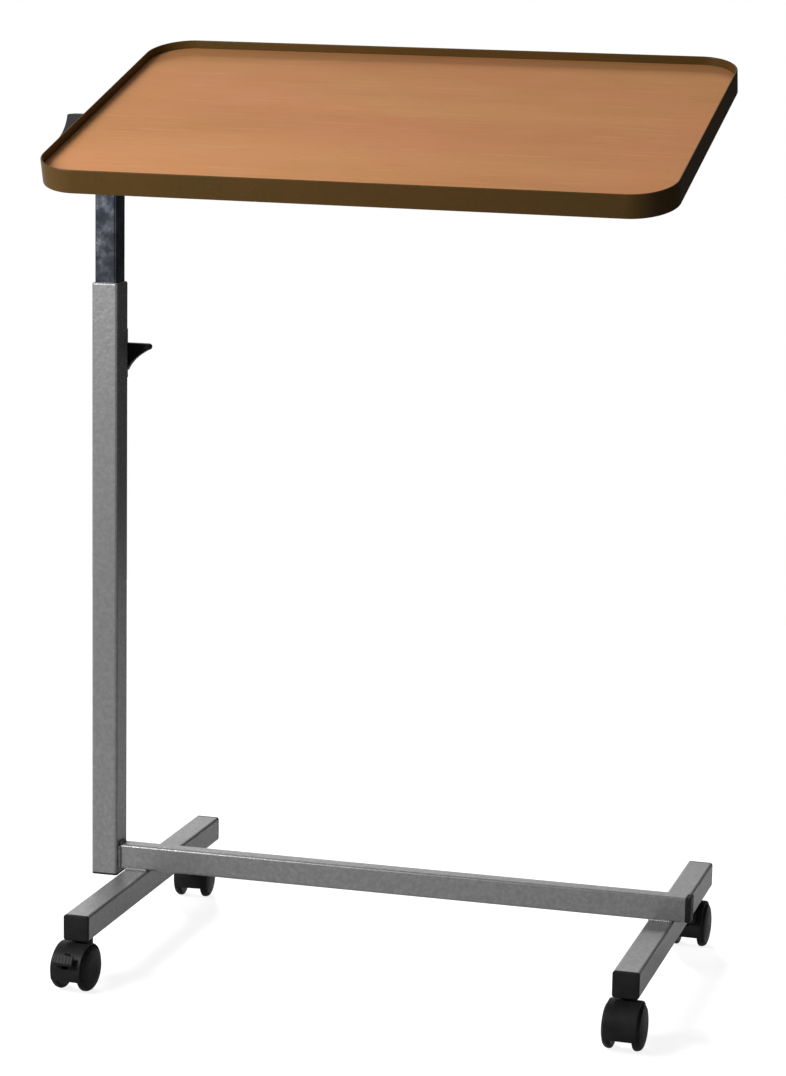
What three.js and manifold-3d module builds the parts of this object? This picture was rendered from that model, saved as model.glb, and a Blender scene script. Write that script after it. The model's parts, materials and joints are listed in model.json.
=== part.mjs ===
// Overbed table: a tilting tray top on a telescopic mast, carried by an H-shaped base on twin-wheel castors.
// Millimetres, +Z up. While it is drawn, X = 0 and Y = 0 are the mast's axis and Z = 0 is the floor.
// X runs along the base rail, and Y runs to the back of the table.
import * as THREE from 'three';
import { mergeVertices } from 'three/addons/utils/BufferGeometryUtils.js';
import Module from 'manifold-3d';

const wasm = await Module();
wasm.setup();

// ---------------------------------------------------------------- driving dimensions

const GAP = 0.3; // between pieces that touch
const THROUGH = 40; // half the length of a cutter that passes right through
const DEGREE = Math.PI / 180;

// tray top
const TOP_WIDTH = 600;
const TOP_DEPTH = 370;
const TOP_CORNER = 42;
const EDGING_HEIGHT = 23;
const LIP_HEIGHT = 8;
const EDGING_WALL = 1.8;
const TONGUE_DEPTH = 6;
const TONGUE_THICKNESS = 2;
const TILT = 18; // front edge down, the second notch of the index disc
const DROOP = 0.55; // free end down, from the play in the head
const RIM_ABOVE_AXIS = 44;
const TOP_BEHIND_AXIS = 12.8;
const TILT_AXIS_HEIGHT = 793.3;

// mast
const MAST_WIDTH = 27;
const MAST_DEPTH = 30;
const MAST_WALL = 1.2;
const MAST_CORNER = 3;
const MAST_BOTTOM = 68.2;
const MAST_TOP = 664;
const FOOT_FLANGE = 1.4;
const INNER_CLEARANCE = 1.1; // between the two mast tubes, where the guide liner runs
const INNER_WALL = 1.5;
const INNER_BOTTOM = 335;
const INNER_TOP = 774;
const LINER_THICKNESS = 0.6;
const LINER_LENGTH = 40;
const GUIDE_FIT = 0.25; // a nylon guide's play in the outer mast

// base
const LEG_SIZE = 25.4;
const TUBE_WALL = 1.5;
const LEG_UNDERSIDE = 48.6;
const LEG_FRONT = -173.2;
const LEG_BACK = 210.7;
const LEG_X = { left: 32, right: 566.5 };
const RAIL_HEIGHT = 25;
const RAIL_DEPTH = 17.5;
const RAIL_END = 595.5;
const LEG_CAP = 3; // head thickness
const RAIL_CAP = 5;

// castors
const WHEEL_RADIUS = 22;
const WHEEL_INNER = 10;
const WHEEL_OUTER = 18.4;
const WHEEL_DOME = 1.5;
const TREAD_ROUND = { inner: 2.5, outer: 5 };
const HUB_CAP = 0.8; // closes each wheel's bore
const AXLE_RADIUS = 3;
const CASTOR_TRAIL = 21;
const STEM_FROM_END = 26;
const STEM_RADIUS = 4;
const HOOD_RADIUS = 24.2;
const HOOD_WALL = 1.5;
const HOOD_WIDTH = 31;
const HOOD_SWEEP = { from: -18, to: 200 }; // degrees, from +Y over the top
const WEB_WIDTH = 18.4;
const WEB_FOOT = { half: 8, below: 12 }; // from the axle
const COLLAR = { radius: 6.5, height: 1 };
const BOSS_RADIUS = 6.5; // round the stem
const NECK = { half: 5.5, front: 2, back: 27, bottom: 8 }; // from the axle
const PEDAL_SHANK = 5.4;
const PEDAL_TREAD = 20;
const PEDAL_SLOT = { front: -30, back: -9, low: 4, high: 17.6 }; // from the axle
const BRAKED = ['front_left', 'back_right'];
const SWIVEL = { front_left: -5, front_right: -1, back_left: 5, back_right: -1 };

// tilt head and arm
const ARM_RADIUS = 10;
const ARM_WALL = 2;
const ARM_RIGHT = 486;
const ARM_LEFT = -22.5;
const BARREL_RADIUS = 16;
const BARREL_HALF = 15;
const BUSH_RADIUS = 12;
const DISC_RADIUS = 19;
const DISC_THICKNESS = 4.6;
const NOTCH_PITCH = 9;
const NOTCH_COUNT = 6; // level to 45 degrees
const BRACKET_X = [92, 446];
const BRACKET = { halfLength: 24, halfDepth: 56, thickness: 3 };
const SCREW = { spread: 42, radius: 2, bore: 2.4, headRadius: 4.4, headHeight: 2.6, bite: 11 };
const HEAD_PIN = { radius: 2.8, bore: 3.2, belowTop: 12 };
const HEAD_WALL = 2.5;
const EAR = { offsets: [-10.5, 7.5], thickness: 3 };
const LEVER_PIN = { x: -34, z: -21, radius: 2, bore: 2.3 }; // from the tilt axis
const PAWL_WIDTH = 5;

// height trigger, on the back of the outer mast
const TRIGGER_HEIGHT = 590;
const TRIGGER_FRONT = 20.5;
const TRIGGER_THICKNESS = 8;
const HOUSING = { left: -12, right: 6, below: 24, above: 25, wall: 2 };
const SHOE_HALF = { x: 7, z: 11 };
const SHOE_THICKNESS = 2.2;
const SHOE_STEM = { radius: 2, bore: 2.3 };

// dimensions that follow from those
const BOARD_THICKNESS = EDGING_HEIGHT - LIP_HEIGHT;
const LEG_TOP = LEG_UNDERSIDE + LEG_SIZE;
const RAIL_BOTTOM = LEG_TOP + GAP;
const TOP_CENTRE_X = (TOP_WIDTH - MAST_WIDTH) / 2;
const INNER_WIDTH = MAST_WIDTH - 2 * (MAST_WALL + INNER_CLEARANCE);
const INNER_DEPTH = MAST_DEPTH - 2 * (MAST_WALL + INNER_CLEARANCE);
const BOARD_UNDERSIDE = RIM_ABOVE_AXIS - EDGING_HEIGHT; // above the tilt axis
const SHOE_FACE = INNER_DEPTH / 2 + GAP;
const PAWL_X = ARM_LEFT + DISC_THICKNESS / 2;

// ---------------------------------------------------------------- materials

const finish = (color, roughness, metalness) => new THREE.MeshStandardMaterial({ color, roughness, metalness });
const HAMMERED_GREY = finish(0x8f9091, 0.5, 0.35);
const CHROME = finish(0x9aa0a8, 0.15, 1);
const ZINC = finish(0xb4b6b8, 0.35, 0.9);
const BLACK_NYLON = finish(0x1b1b1d, 0.5, 0);
const BLACK_CAP = finish(0x232325, 0.55, 0);
const WHEEL_NYLON = finish(0x2a2a2c, 0.7, 0);
const WHITE_NYLON = finish(0xd8d6ce, 0.5, 0);
const BEECH = finish(0xc08a5c, 0.45, 0);
const BRONZE_PLASTIC = finish(0x5a4022, 0.4, 0);

// ---------------------------------------------------------------- solids

function solid(geometry) {
  const plain = geometry.index ? geometry : geometry.clone();
  plain.deleteAttribute('normal');
  plain.deleteAttribute('uv');
  const merged = mergeVertices(plain, 1e-4);
  return new wasm.Manifold(new wasm.Mesh({
    numProp: 3,
    vertProperties: new Float32Array(merged.attributes.position.array),
    triVerts: new Uint32Array(merged.index.array),
  }));
}

function geometryOf(body) {
  const mesh = body.getMesh();
  const geometry = new THREE.BufferGeometry();
  geometry.setAttribute('position', new THREE.BufferAttribute(mesh.vertProperties, 3));
  geometry.setIndex(new THREE.BufferAttribute(mesh.triVerts, 1));
  geometry.computeVertexNormals();
  return geometry;
}

function piece(name, body, material) {
  const mesh = new THREE.Mesh(geometryOf(body), material);
  mesh.name = name;
  return mesh;
}

function block(x0, x1, y0, y1, z0, z1) {
  const geometry = new THREE.BoxGeometry(x1 - x0, y1 - y0, z1 - z0);
  geometry.translate((x0 + x1) / 2, (y0 + y1) / 2, (z0 + z1) / 2);
  return solid(geometry);
}

function lathe(points, segments) {
  const profile = points.map(([radius, along]) => new THREE.Vector2(radius, along));
  return new THREE.LatheGeometry(profile, segments); // turned about Y
}

// Turns a profile of [radius, distance along the axis] about an axis through the origin.
function turned(axis, points, segments = 24) {
  const geometry = lathe(points, segments);
  if (axis === 'x') {
    geometry.rotateZ(-Math.PI / 2);
  }
  if (axis === 'z') {
    geometry.rotateX(Math.PI / 2);
  }
  return solid(geometry);
}

function rod(axis, radius, from, to, segments = 24) {
  return turned(axis, [[0, from], [radius, from], [radius, to], [0, to]], segments);
}

function sleeve(axis, inner, outer, from, to, segments = 24) {
  return turned(axis, [[inner, from], [outer, from], [outer, to], [inner, to], [inner, from]], segments);
}

function roundedRectangle(width, depth, radius) {
  const x = width / 2;
  const y = depth / 2;
  const shape = new THREE.Shape();
  shape.moveTo(-x + radius, -y);
  shape.lineTo(x - radius, -y);
  shape.absarc(x - radius, -y + radius, radius, -Math.PI / 2, 0);
  shape.lineTo(x, y - radius);
  shape.absarc(x - radius, y - radius, radius, 0, Math.PI / 2);
  shape.lineTo(-x + radius, y);
  shape.absarc(-x + radius, y - radius, radius, Math.PI / 2, Math.PI);
  shape.lineTo(-x, -y + radius);
  shape.absarc(-x + radius, -y + radius, radius, Math.PI, 1.5 * Math.PI);
  return shape;
}

function raised(shape, z0, z1, curveSegments = 2) {
  const geometry = new THREE.ExtrudeGeometry(shape, { depth: z1 - z0, bevelEnabled: false, curveSegments });
  geometry.translate(0, 0, z0);
  return solid(geometry);
}

// An upright rounded-rectangle prism.
function prism(width, depth, radius, z0, z1, curveSegments = 2) {
  return raised(roundedRectangle(width, depth, radius), z0, z1, curveSegments);
}

function squareTube(width, depth, radius, wall, z0, z1) {
  const inside = Math.max(radius - wall, 0.4);
  const cavity = prism(width - 2 * wall, depth - 2 * wall, inside, z0 - 1, z1 + 1);
  return prism(width, depth, radius, z0, z1).subtract(cavity);
}

// Lays an upright solid down so that its +Z end points along +X, or along +Y.
const alongX = (body) => body.rotate([0, 90, 0]);
const alongY = (body) => body.rotate([-90, 0, 0]);

// A flat outline drawn in X and Z, given a thickness along Y.
function plateXZ(shape, y0, y1, curveSegments = 6) {
  return raised(shape, -y1, -y0, curveSegments).rotate([90, 0, 0]);
}

// A flat outline drawn in Y and Z, given a thickness along X.
function plateYZ(shape, x0, x1, curveSegments = 6) {
  return raised(shape, x0, x1, curveSegments).rotate([90, 0, 90]);
}

function outline(points) {
  return new THREE.Shape(points.map(([a, b]) => new THREE.Vector2(a, b)));
}

// A close-wound wire spring about Y.
function coil(radius, wire, y0, y1, turns) {
  class Helix extends THREE.Curve {
    getPoint(t, target = new THREE.Vector3()) {
      const angle = 2 * Math.PI * turns * t;
      return target.set(radius * Math.cos(angle), y0 + (y1 - y0) * t, radius * Math.sin(angle));
    }
  }
  const section = new THREE.Shape();
  section.absarc(0, 0, wire, 0, 2 * Math.PI);
  const options = { extrudePath: new Helix(), steps: 10 * turns, curveSegments: 2, bevelEnabled: false };
  return solid(new THREE.ExtrudeGeometry(section, options));
}

// ---------------------------------------------------------------- base

function legTube(x) {
  const length = LEG_BACK - LEG_FRONT - 2 * (LEG_CAP + GAP);
  const tube = alongY(squareTube(LEG_SIZE, LEG_SIZE, 2, TUBE_WALL, 0, length));
  let leg = tube.translate([x, LEG_FRONT + LEG_CAP + GAP, LEG_UNDERSIDE + LEG_SIZE / 2]);
  for (const y of [LEG_FRONT + STEM_FROM_END, LEG_BACK - STEM_FROM_END]) {
    const stemHole = rod('z', STEM_RADIUS + 0.6, LEG_UNDERSIDE - 1, LEG_UNDERSIDE + 3, 12);
    leg = leg.subtract(stemHole.translate([x, y, 0]));
  }
  return leg;
}

// A push-in cap drawn with its outer face at z = 0, its head below and its spigot above.
function tubeCap(width, depth, thickness) {
  const head = prism(width, depth, 2, 0, thickness);
  const room = 2 * (TUBE_WALL + GAP);
  return head.add(prism(width - room, depth - room, 1, thickness - 0.5, thickness + 9));
}

function base() {
  const group = new THREE.Group();
  const railMiddle = RAIL_BOTTOM + RAIL_HEIGHT / 2;
  const railStart = MAST_WIDTH / 2 + GAP;
  const railLength = RAIL_END - RAIL_CAP - GAP - railStart;
  const rail = alongX(squareTube(RAIL_HEIGHT, RAIL_DEPTH, 2, TUBE_WALL, 0, railLength));
  group.add(piece('rail', rail.translate([railStart, 0, railMiddle]), HAMMERED_GREY));
  const railCap = tubeCap(RAIL_HEIGHT, RAIL_DEPTH, RAIL_CAP).rotate([0, -90, 0]);
  group.add(piece('rail_end_cap', railCap.translate([RAIL_END, 0, railMiddle]), BLACK_CAP));
  for (const [side, x] of Object.entries(LEG_X)) {
    group.add(piece(`leg_${side}`, legTube(x), HAMMERED_GREY));
    const middle = LEG_UNDERSIDE + LEG_SIZE / 2;
    const cap = tubeCap(LEG_SIZE, LEG_SIZE, LEG_CAP);
    const front = alongY(cap).translate([x, LEG_FRONT, middle]);
    const back = cap.rotate([90, 0, 0]).translate([x, LEG_BACK, middle]);
    group.add(piece(`leg_cap_front_${side}`, front, BLACK_CAP));
    group.add(piece(`leg_cap_back_${side}`, back, BLACK_CAP));
  }
  return group;
}

// ---------------------------------------------------------------- castors

// The wheel to the right of the castor's web, turned about its own axle.
function castorWheel() {
  const bore = AXLE_RADIUS + GAP;
  const face = WHEEL_OUTER + WHEEL_DOME;
  const inner = TREAD_ROUND.inner;
  const outer = TREAD_ROUND.outer;
  const arc = (radius, along, size, angles) => angles.map((angle) => [
    radius + size * Math.sin(angle * DEGREE),
    along + size * Math.cos(angle * DEGREE),
  ]);
  return turned('x', [
    [bore, WHEEL_INNER],
    ...arc(WHEEL_RADIUS - inner, WHEEL_INNER + inner, inner, [180, 150, 120, 90]),
    ...arc(WHEEL_RADIUS - outer, WHEEL_OUTER - outer, outer, [90, 60, 30, 0]),
    [WHEEL_RADIUS - 2 * outer, face],
    [0, face],
    [0, face - HUB_CAP],
    [bore, face - HUB_CAP],
    [bore, WHEEL_INNER],
  ], 24);
}

function fenderShape() {
  const from = HOOD_SWEEP.from * DEGREE;
  const to = HOOD_SWEEP.to * DEGREE;
  const shape = new THREE.Shape();
  shape.absarc(0, 0, HOOD_RADIUS, from, to, false);
  shape.absarc(0, 0, HOOD_RADIUS - HOOD_WALL, to, from, true);
  return shape;
}

// Drawn with the axle through the origin; the stem stands at +Y and the hood covers the trailing side, -Y.
function castorHood(braked) {
  const halfWeb = WEB_WIDTH / 2;
  let hood = plateYZ(fenderShape(), -HOOD_WIDTH / 2, HOOD_WIDTH / 2, 12);
  const web = new THREE.Shape();
  web.absarc(0, 0, HOOD_RADIUS - 0.5, (HOOD_SWEEP.from + 3) * DEGREE, (HOOD_SWEEP.to - 3) * DEGREE, false);
  web.lineTo(-WEB_FOOT.half, -WEB_FOOT.below);
  web.lineTo(WEB_FOOT.half, -WEB_FOOT.below);
  hood = hood.add(plateYZ(web, -halfWeb, halfWeb, 8));
  const top = LEG_UNDERSIDE - COLLAR.height - 2 * GAP - WHEEL_RADIUS;
  const boss = rod('z', BOSS_RADIUS, -6, top, 16);
  hood = hood.add(boss.translate([0, CASTOR_TRAIL, 0]));
  const neck = block(-NECK.half, NECK.half, NECK.front, NECK.back, NECK.bottom, top);
  hood = hood.add(neck.subtract(rod('x', HOOD_RADIUS - HOOD_WALL, -THROUGH, THROUGH, 48)));
  const bearing = rod('z', STEM_RADIUS + GAP, -2, THROUGH, 12);
  hood = hood.subtract(bearing.translate([0, CASTOR_TRAIL, 0]));
  hood = hood.subtract(rod('x', AXLE_RADIUS + GAP, -THROUGH, THROUGH, 12));
  if (braked) {
    const half = PEDAL_SHANK / 2 + GAP;
    const { front, back, low, high } = PEDAL_SLOT;
    hood = hood.subtract(block(-half, half, front, back, low, high));
  }
  return hood;
}

function castorStem() {
  const collarTop = LEG_UNDERSIDE - GAP;
  return turned('z', [
    [0, WHEEL_RADIUS],
    [STEM_RADIUS, WHEEL_RADIUS],
    [STEM_RADIUS, collarTop - COLLAR.height],
    [COLLAR.radius, collarTop - COLLAR.height],
    [COLLAR.radius, collarTop],
    [STEM_RADIUS, collarTop],
    [STEM_RADIUS, LEG_UNDERSIDE + 16],
    [STEM_RADIUS - 1, LEG_UNDERSIDE + 18],
    [0, LEG_UNDERSIDE + 18],
  ], 12);
}

// A pedal in the hood's slot, with a wide tread outside it, drawn about the axle like the hood.
function brakePedal() {
  const shank = outline([[-11, 6], [-18, 6], [-22, 9], [-28, 10], [-27, 14.5], [-24, 17], [-16, 17], [-11, 14]]);
  const tread = outline([[-25.2, 8.6], [-28.9, 9], [-29.5, 11], [-25.4, 18.6], [-23.2, 18.2]]);
  const pad = plateYZ(tread, -PEDAL_TREAD / 2, PEDAL_TREAD / 2);
  return plateYZ(shank, -PEDAL_SHANK / 2, PEDAL_SHANK / 2).add(pad);
}

function castor(place, x, y) {
  const group = new THREE.Group();
  group.position.set(x, y, 0);
  group.add(piece(`castor_stem_${place}`, castorStem(), ZINC));
  const swivel = new THREE.Group();
  swivel.rotation.z = SWIVEL[place] * DEGREE;
  const running = new THREE.Group();
  running.position.set(0, -CASTOR_TRAIL, WHEEL_RADIUS);
  const braked = BRAKED.includes(place);
  const wheel = castorWheel();
  const axleEnd = WHEEL_OUTER + WHEEL_DOME - HUB_CAP - GAP;
  running.add(piece(`castor_hood_${place}`, castorHood(braked), BLACK_NYLON));
  running.add(piece(`castor_axle_${place}`, rod('x', AXLE_RADIUS, -axleEnd, axleEnd, 12), ZINC));
  running.add(piece(`castor_wheel_right_${place}`, wheel, WHEEL_NYLON));
  running.add(piece(`castor_wheel_left_${place}`, wheel.rotate([0, 0, 180]), WHEEL_NYLON));
  if (braked) {
    running.add(piece(`brake_pedal_${place}`, brakePedal(), BLACK_NYLON));
  }
  swivel.add(running);
  group.add(swivel);
  return group;
}

function castors() {
  const group = new THREE.Group();
  for (const [side, x] of Object.entries(LEG_X)) {
    group.add(castor(`front_${side}`, x, LEG_FRONT + STEM_FROM_END));
    group.add(castor(`back_${side}`, x, LEG_BACK - STEM_FROM_END));
  }
  return group;
}

// ---------------------------------------------------------------- outer mast and its height trigger

function outerMast() {
  const foot = MAST_BOTTOM + FOOT_FLANGE + GAP;
  const tube = squareTube(MAST_WIDTH, MAST_DEPTH, MAST_CORNER, MAST_WALL, foot, MAST_TOP);
  const window = block(
    -SHOE_HALF.x - GAP, SHOE_HALF.x + GAP, 8, MAST_DEPTH / 2 + 2,
    TRIGGER_HEIGHT - SHOE_HALF.z - GAP, TRIGGER_HEIGHT + SHOE_HALF.z + GAP,
  );
  return tube.subtract(window);
}

function upperGuideLiner() {
  const width = MAST_WIDTH - 2 * (MAST_WALL + GUIDE_FIT);
  const depth = MAST_DEPTH - 2 * (MAST_WALL + GUIDE_FIT);
  const top = MAST_TOP - 4;
  return squareTube(width, depth, MAST_CORNER - MAST_WALL, LINER_THICKNESS, top - LINER_LENGTH, top);
}

function mastFootPlug() {
  const room = 2 * (MAST_WALL + GAP);
  const flange = prism(MAST_WIDTH, MAST_DEPTH, MAST_CORNER, MAST_BOTTOM, MAST_BOTTOM + FOOT_FLANGE);
  return flange.add(prism(MAST_WIDTH - room, MAST_DEPTH - room, 1.5, MAST_BOTTOM + 1, MAST_BOTTOM + 14));
}

// A moulded cover on the back of the mast, open to the right for the lever.
function triggerHousing() {
  const front = MAST_DEPTH / 2 + GAP;
  const back = TRIGGER_FRONT + TRIGGER_THICKNESS + 6.5;
  const { left, right, wall } = HOUSING;
  const low = TRIGGER_HEIGHT - HOUSING.below;
  const high = TRIGGER_HEIGHT + HOUSING.above;
  const shell = block(left, right, front, back, low, high);
  const hollow = block(left + wall, right + 1, TRIGGER_FRONT - 1, back - wall, low + 4 * wall, high - wall);
  const swing = 13; // room above and below the lever's hub
  const throatLow = TRIGGER_HEIGHT - swing;
  const throatHigh = TRIGGER_HEIGHT + swing;
  const throat = block(left + wall, right + 1, front - 1, TRIGGER_FRONT, throatLow, throatHigh);
  return shell.subtract(hollow).subtract(throat);
}

function heightTrigger() {
  const hub = 10;
  const flat = 12;
  const shape = new THREE.Shape();
  shape.absarc(0, 0, hub, 100 * DEGREE, 250 * DEGREE, false);
  shape.lineTo(6, -15.5);
  shape.lineTo(9.5, -15.5);
  shape.quadraticCurveTo(15.2, -3, 30.4, 5.2);
  shape.absarc(30.9, 8.8, 3.2, -60 * DEGREE, 80 * DEGREE, false);
  shape.lineTo(28, flat);
  shape.lineTo(8, flat);
  const lever = plateXZ(shape, TRIGGER_FRONT, TRIGGER_FRONT + TRIGGER_THICKNESS, 6);
  const bore = rod('y', SHOE_STEM.bore, TRIGGER_FRONT - 1, TRIGGER_FRONT + TRIGGER_THICKNESS + 1, 12);
  return lever.subtract(bore).translate([0, 0, TRIGGER_HEIGHT]);
}

// The pad that grips the inner mast, with the stem that the trigger turns on.
function brakeShoe() {
  const back = SHOE_FACE + SHOE_THICKNESS;
  const pad = block(-SHOE_HALF.x, SHOE_HALF.x, SHOE_FACE, back, -SHOE_HALF.z, SHOE_HALF.z);
  const stem = rod('y', SHOE_STEM.radius, back - 1, TRIGGER_FRONT + TRIGGER_THICKNESS + 1, 12);
  return pad.add(stem).translate([0, 0, TRIGGER_HEIGHT]);
}

function shoeNut() {
  const start = TRIGGER_FRONT + TRIGGER_THICKNESS + GAP;
  const end = start + 2.4;
  const nut = turned('y', [
    [0, start + 1], [SHOE_STEM.radius + 0.2, start + 1], [SHOE_STEM.radius + 0.2, start],
    [4.5, start], [4.5, end], [0, end],
  ], 12);
  return nut.translate([0, 0, TRIGGER_HEIGHT]);
}

function outerMastParts() {
  const group = new THREE.Group();
  group.add(piece('outer_mast', outerMast(), HAMMERED_GREY));
  group.add(piece('upper_guide_liner', upperGuideLiner(), WHITE_NYLON));
  group.add(piece('mast_foot_plug', mastFootPlug(), BLACK_CAP));
  group.add(piece('trigger_housing', triggerHousing(), BLACK_NYLON));
  group.add(piece('height_trigger', heightTrigger(), BLACK_NYLON));
  group.add(piece('brake_shoe', brakeShoe(), ZINC));
  group.add(piece('brake_shoe_nut', shoeNut(), ZINC));
  const spring = coil(3.4, 0.45, SHOE_FACE + SHOE_THICKNESS + 1.7, TRIGGER_FRONT - 0.8, 2);
  group.add(piece('brake_shoe_spring', spring.translate([0, 0, TRIGGER_HEIGHT]), ZINC));
  return group;
}

// ---------------------------------------------------------------- inner mast and head

function innerMast() {
  const tube = squareTube(INNER_WIDTH, INNER_DEPTH, MAST_CORNER - 0.4, INNER_WALL, INNER_BOTTOM, INNER_TOP);
  const pinHole = rod('y', HEAD_PIN.bore, -THROUGH, THROUGH, 16);
  return tube.subtract(pinHole.translate([0, 0, INNER_TOP - HEAD_PIN.belowTop]));
}

function lowerGuide() {
  const width = MAST_WIDTH - 2 * (MAST_WALL + GUIDE_FIT);
  const depth = MAST_DEPTH - 2 * (MAST_WALL + GUIDE_FIT);
  const foot = prism(width, depth, MAST_CORNER - MAST_WALL, INNER_BOTTOM - 26, INNER_BOTTOM - GAP);
  const room = 2 * (INNER_WALL + GAP);
  return foot.add(prism(INNER_WIDTH - room, INNER_DEPTH - room, 1, INNER_BOTTOM - 1, INNER_BOTTOM + 14));
}

// The head is drawn about the tilt axis, which leans by the droop; its socket stays plumb on the mast.
function headCasting() {
  const socketWidth = INNER_WIDTH + 2 * GAP;
  const socketDepth = INNER_DEPTH + 2 * GAP;
  const plumb = (body) => body.rotate([0, -DROOP, 0]);
  const mastTop = INNER_TOP - TILT_AXIS_HEIGHT;
  const outside = prism(socketWidth + 2 * HEAD_WALL, socketDepth + 2 * HEAD_WALL, 4, mastTop - 20, mastTop + 8);
  const socket = prism(socketWidth, socketDepth, MAST_CORNER, mastTop - 40, mastTop + GAP);
  const earShape = outline([
    [-13, -23], [-26, -23], [-29.5, -15.5], [-38, -15.5], [-40, -18], [-40, -24], [-36, -28], [-13, -36],
  ]);
  let head = plumb(outside).add(rod('x', BARREL_RADIUS, -BARREL_HALF, BARREL_HALF));
  for (const y0 of EAR.offsets) {
    head = head.add(plateXZ(earShape, y0, y0 + EAR.thickness));
  }
  head = head.subtract(plumb(socket));
  head = head.subtract(rod('x', BUSH_RADIUS + GAP, -THROUGH, THROUGH));
  const crossBore = rod('y', HEAD_PIN.bore, -THROUGH, THROUGH, 16);
  head = head.subtract(crossBore.translate([0, 0, mastTop - HEAD_PIN.belowTop]));
  const leverBore = rod('y', LEVER_PIN.bore, -THROUGH, THROUGH, 16);
  return head.subtract(leverBore.translate([LEVER_PIN.x, 0, LEVER_PIN.z]));
}

function headPin() {
  const half = INNER_DEPTH / 2 + 3.2;
  const height = INNER_TOP - TILT_AXIS_HEIGHT - HEAD_PIN.belowTop;
  return rod('y', HEAD_PIN.radius, -half, half, 16).translate([0, 0, height]);
}

// A flanged bush for the right-hand end of the barrel, about the tilt axis.
function armBush() {
  const bore = ARM_RADIUS + 0.2;
  const flange = BARREL_HALF + GAP;
  return turned('x', [
    [bore, 2], [BUSH_RADIUS, 2], [BUSH_RADIUS, flange],
    [14, flange], [14, flange + 1.4], [bore, flange + 1.4], [bore, 2],
  ], 20);
}

// The finger lever outside the table's left edge, about the tilt axis.
function tiltLever() {
  const pin = LEVER_PIN;
  const hub = new THREE.Shape();
  hub.absarc(pin.x, pin.z, 5, 0, 2 * Math.PI);
  const paddle = new THREE.Shape();
  paddle.moveTo(pin.x - 4, pin.z + 4);
  paddle.quadraticCurveTo(-50, -13, -57, -4);
  paddle.absarc(-54.5, -0.5, 3, 1.25 * Math.PI, 0.7 * Math.PI, true);
  paddle.quadraticCurveTo(-44, 12, -41.4, 29.4);
  paddle.absarc(-39.2, 29.6, 2.4, Math.PI, Math.PI / 2, true);
  paddle.lineTo(-25.5, 32);
  paddle.lineTo(-28, 14);
  paddle.lineTo(-30, -6);
  paddle.lineTo(pin.x + 4, pin.z + 3);
  const nose = block(pin.x, -17.6, -4.5, 6.9, pin.z - 3.5, pin.z - GAP);
  let lever = plateXZ(hub, -2.8, 6.9).add(plateXZ(paddle, -9, 9, 6)).add(nose);
  for (const y0 of EAR.offsets) {
    lever = lever.subtract(block(-60, 0, y0 - GAP, y0 + EAR.thickness + GAP, -THROUGH, -12.8));
  }
  lever = lever.subtract(block(pin.x - 6.5, pin.x + 6.5, -7.3, -2.8, -THROUGH, pin.z + 6.5));
  return lever.subtract(rod('y', pin.bore, -THROUGH, THROUGH, 16).translate([pin.x, 0, pin.z]));
}

// A steel tooth that stands on the lever's nose, just clear of the disc's rim under one of its notches.
function tiltPawl() {
  const low = LEVER_PIN.z;
  const tip = -DISC_RADIUS - GAP;
  const tooth = outline([[-2.4, low], [2.4, low], [2.4, low + 0.5], [0.6, tip], [-0.6, tip], [-2.4, low + 0.5]]);
  return plateYZ(tooth, PAWL_X - PAWL_WIDTH / 2, PAWL_X + PAWL_WIDTH / 2);
}

function leverPin() {
  return rod('y', LEVER_PIN.radius, -11.5, 11.5, 16).translate([LEVER_PIN.x, 0, LEVER_PIN.z]);
}

function mastHead() {
  const head = new THREE.Group();
  head.position.z = TILT_AXIS_HEIGHT;
  head.rotation.y = DROOP * DEGREE;
  const bush = armBush();
  head.add(piece('head', headCasting(), BLACK_NYLON));
  head.add(piece('head_cross_pin', headPin(), ZINC));
  head.add(piece('arm_bush_right', bush, WHITE_NYLON));
  head.add(piece('arm_bush_left', bush.rotate([0, 0, 180]), WHITE_NYLON));
  head.add(piece('tilt_lever', tiltLever(), BLACK_NYLON));
  head.add(piece('tilt_pawl', tiltPawl(), ZINC));
  head.add(piece('tilt_lever_pin', leverPin(), ZINC));
  const spring = coil(3.6, 0.5, -6.6, -3.6, 2);
  head.add(piece('tilt_lever_spring', spring.translate([LEVER_PIN.x, 0, LEVER_PIN.z]), ZINC));
  head.add(trayTop());
  return head;
}

// ---------------------------------------------------------------- tilting tray top

// The index disc, welded to the arm's left end, with one notch for each angle that the top can stand at.
function indexDisc() {
  const end = ARM_LEFT + DISC_THICKNESS;
  const bottom = -DISC_RADIUS;
  const notch = outline([[-0.7, bottom + 1.7], [0.7, bottom + 1.7], [1.3, bottom - 1], [-1.3, bottom - 1]]);
  let disc = sleeve('x', ARM_RADIUS + GAP, DISC_RADIUS, ARM_LEFT, end, 36);
  for (let count = 0; count < NOTCH_COUNT; count += 1) {
    const cut = plateYZ(notch, ARM_LEFT - 1, end + 1);
    disc = disc.subtract(cut.rotate([-count * NOTCH_PITCH, 0, 0]));
  }
  return disc;
}

// A saddle that holds the arm up against the board.
function armBracket(x) {
  const plateTop = BOARD_UNDERSIDE - GAP;
  const half = BRACKET.halfLength;
  const depth = BRACKET.halfDepth;
  const sheet = BRACKET.thickness;
  let bracket = block(-half, half, -depth, depth, plateTop - sheet, plateTop);
  const cheek = outline([[-17, -3], [17, -3], [30, plateTop - 2], [-30, plateTop - 2]]);
  for (const x0 of [-half, half - sheet]) {
    bracket = bracket.add(plateYZ(cheek, x0, x0 + sheet));
  }
  bracket = bracket.subtract(rod('x', ARM_RADIUS + GAP, -30, 30));
  for (const y of [-SCREW.spread, SCREW.spread]) {
    bracket = bracket.subtract(rod('z', SCREW.bore, 0, 30, 12).translate([0, y, 0]));
  }
  return bracket.translate([x, 0, 0]);
}

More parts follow.
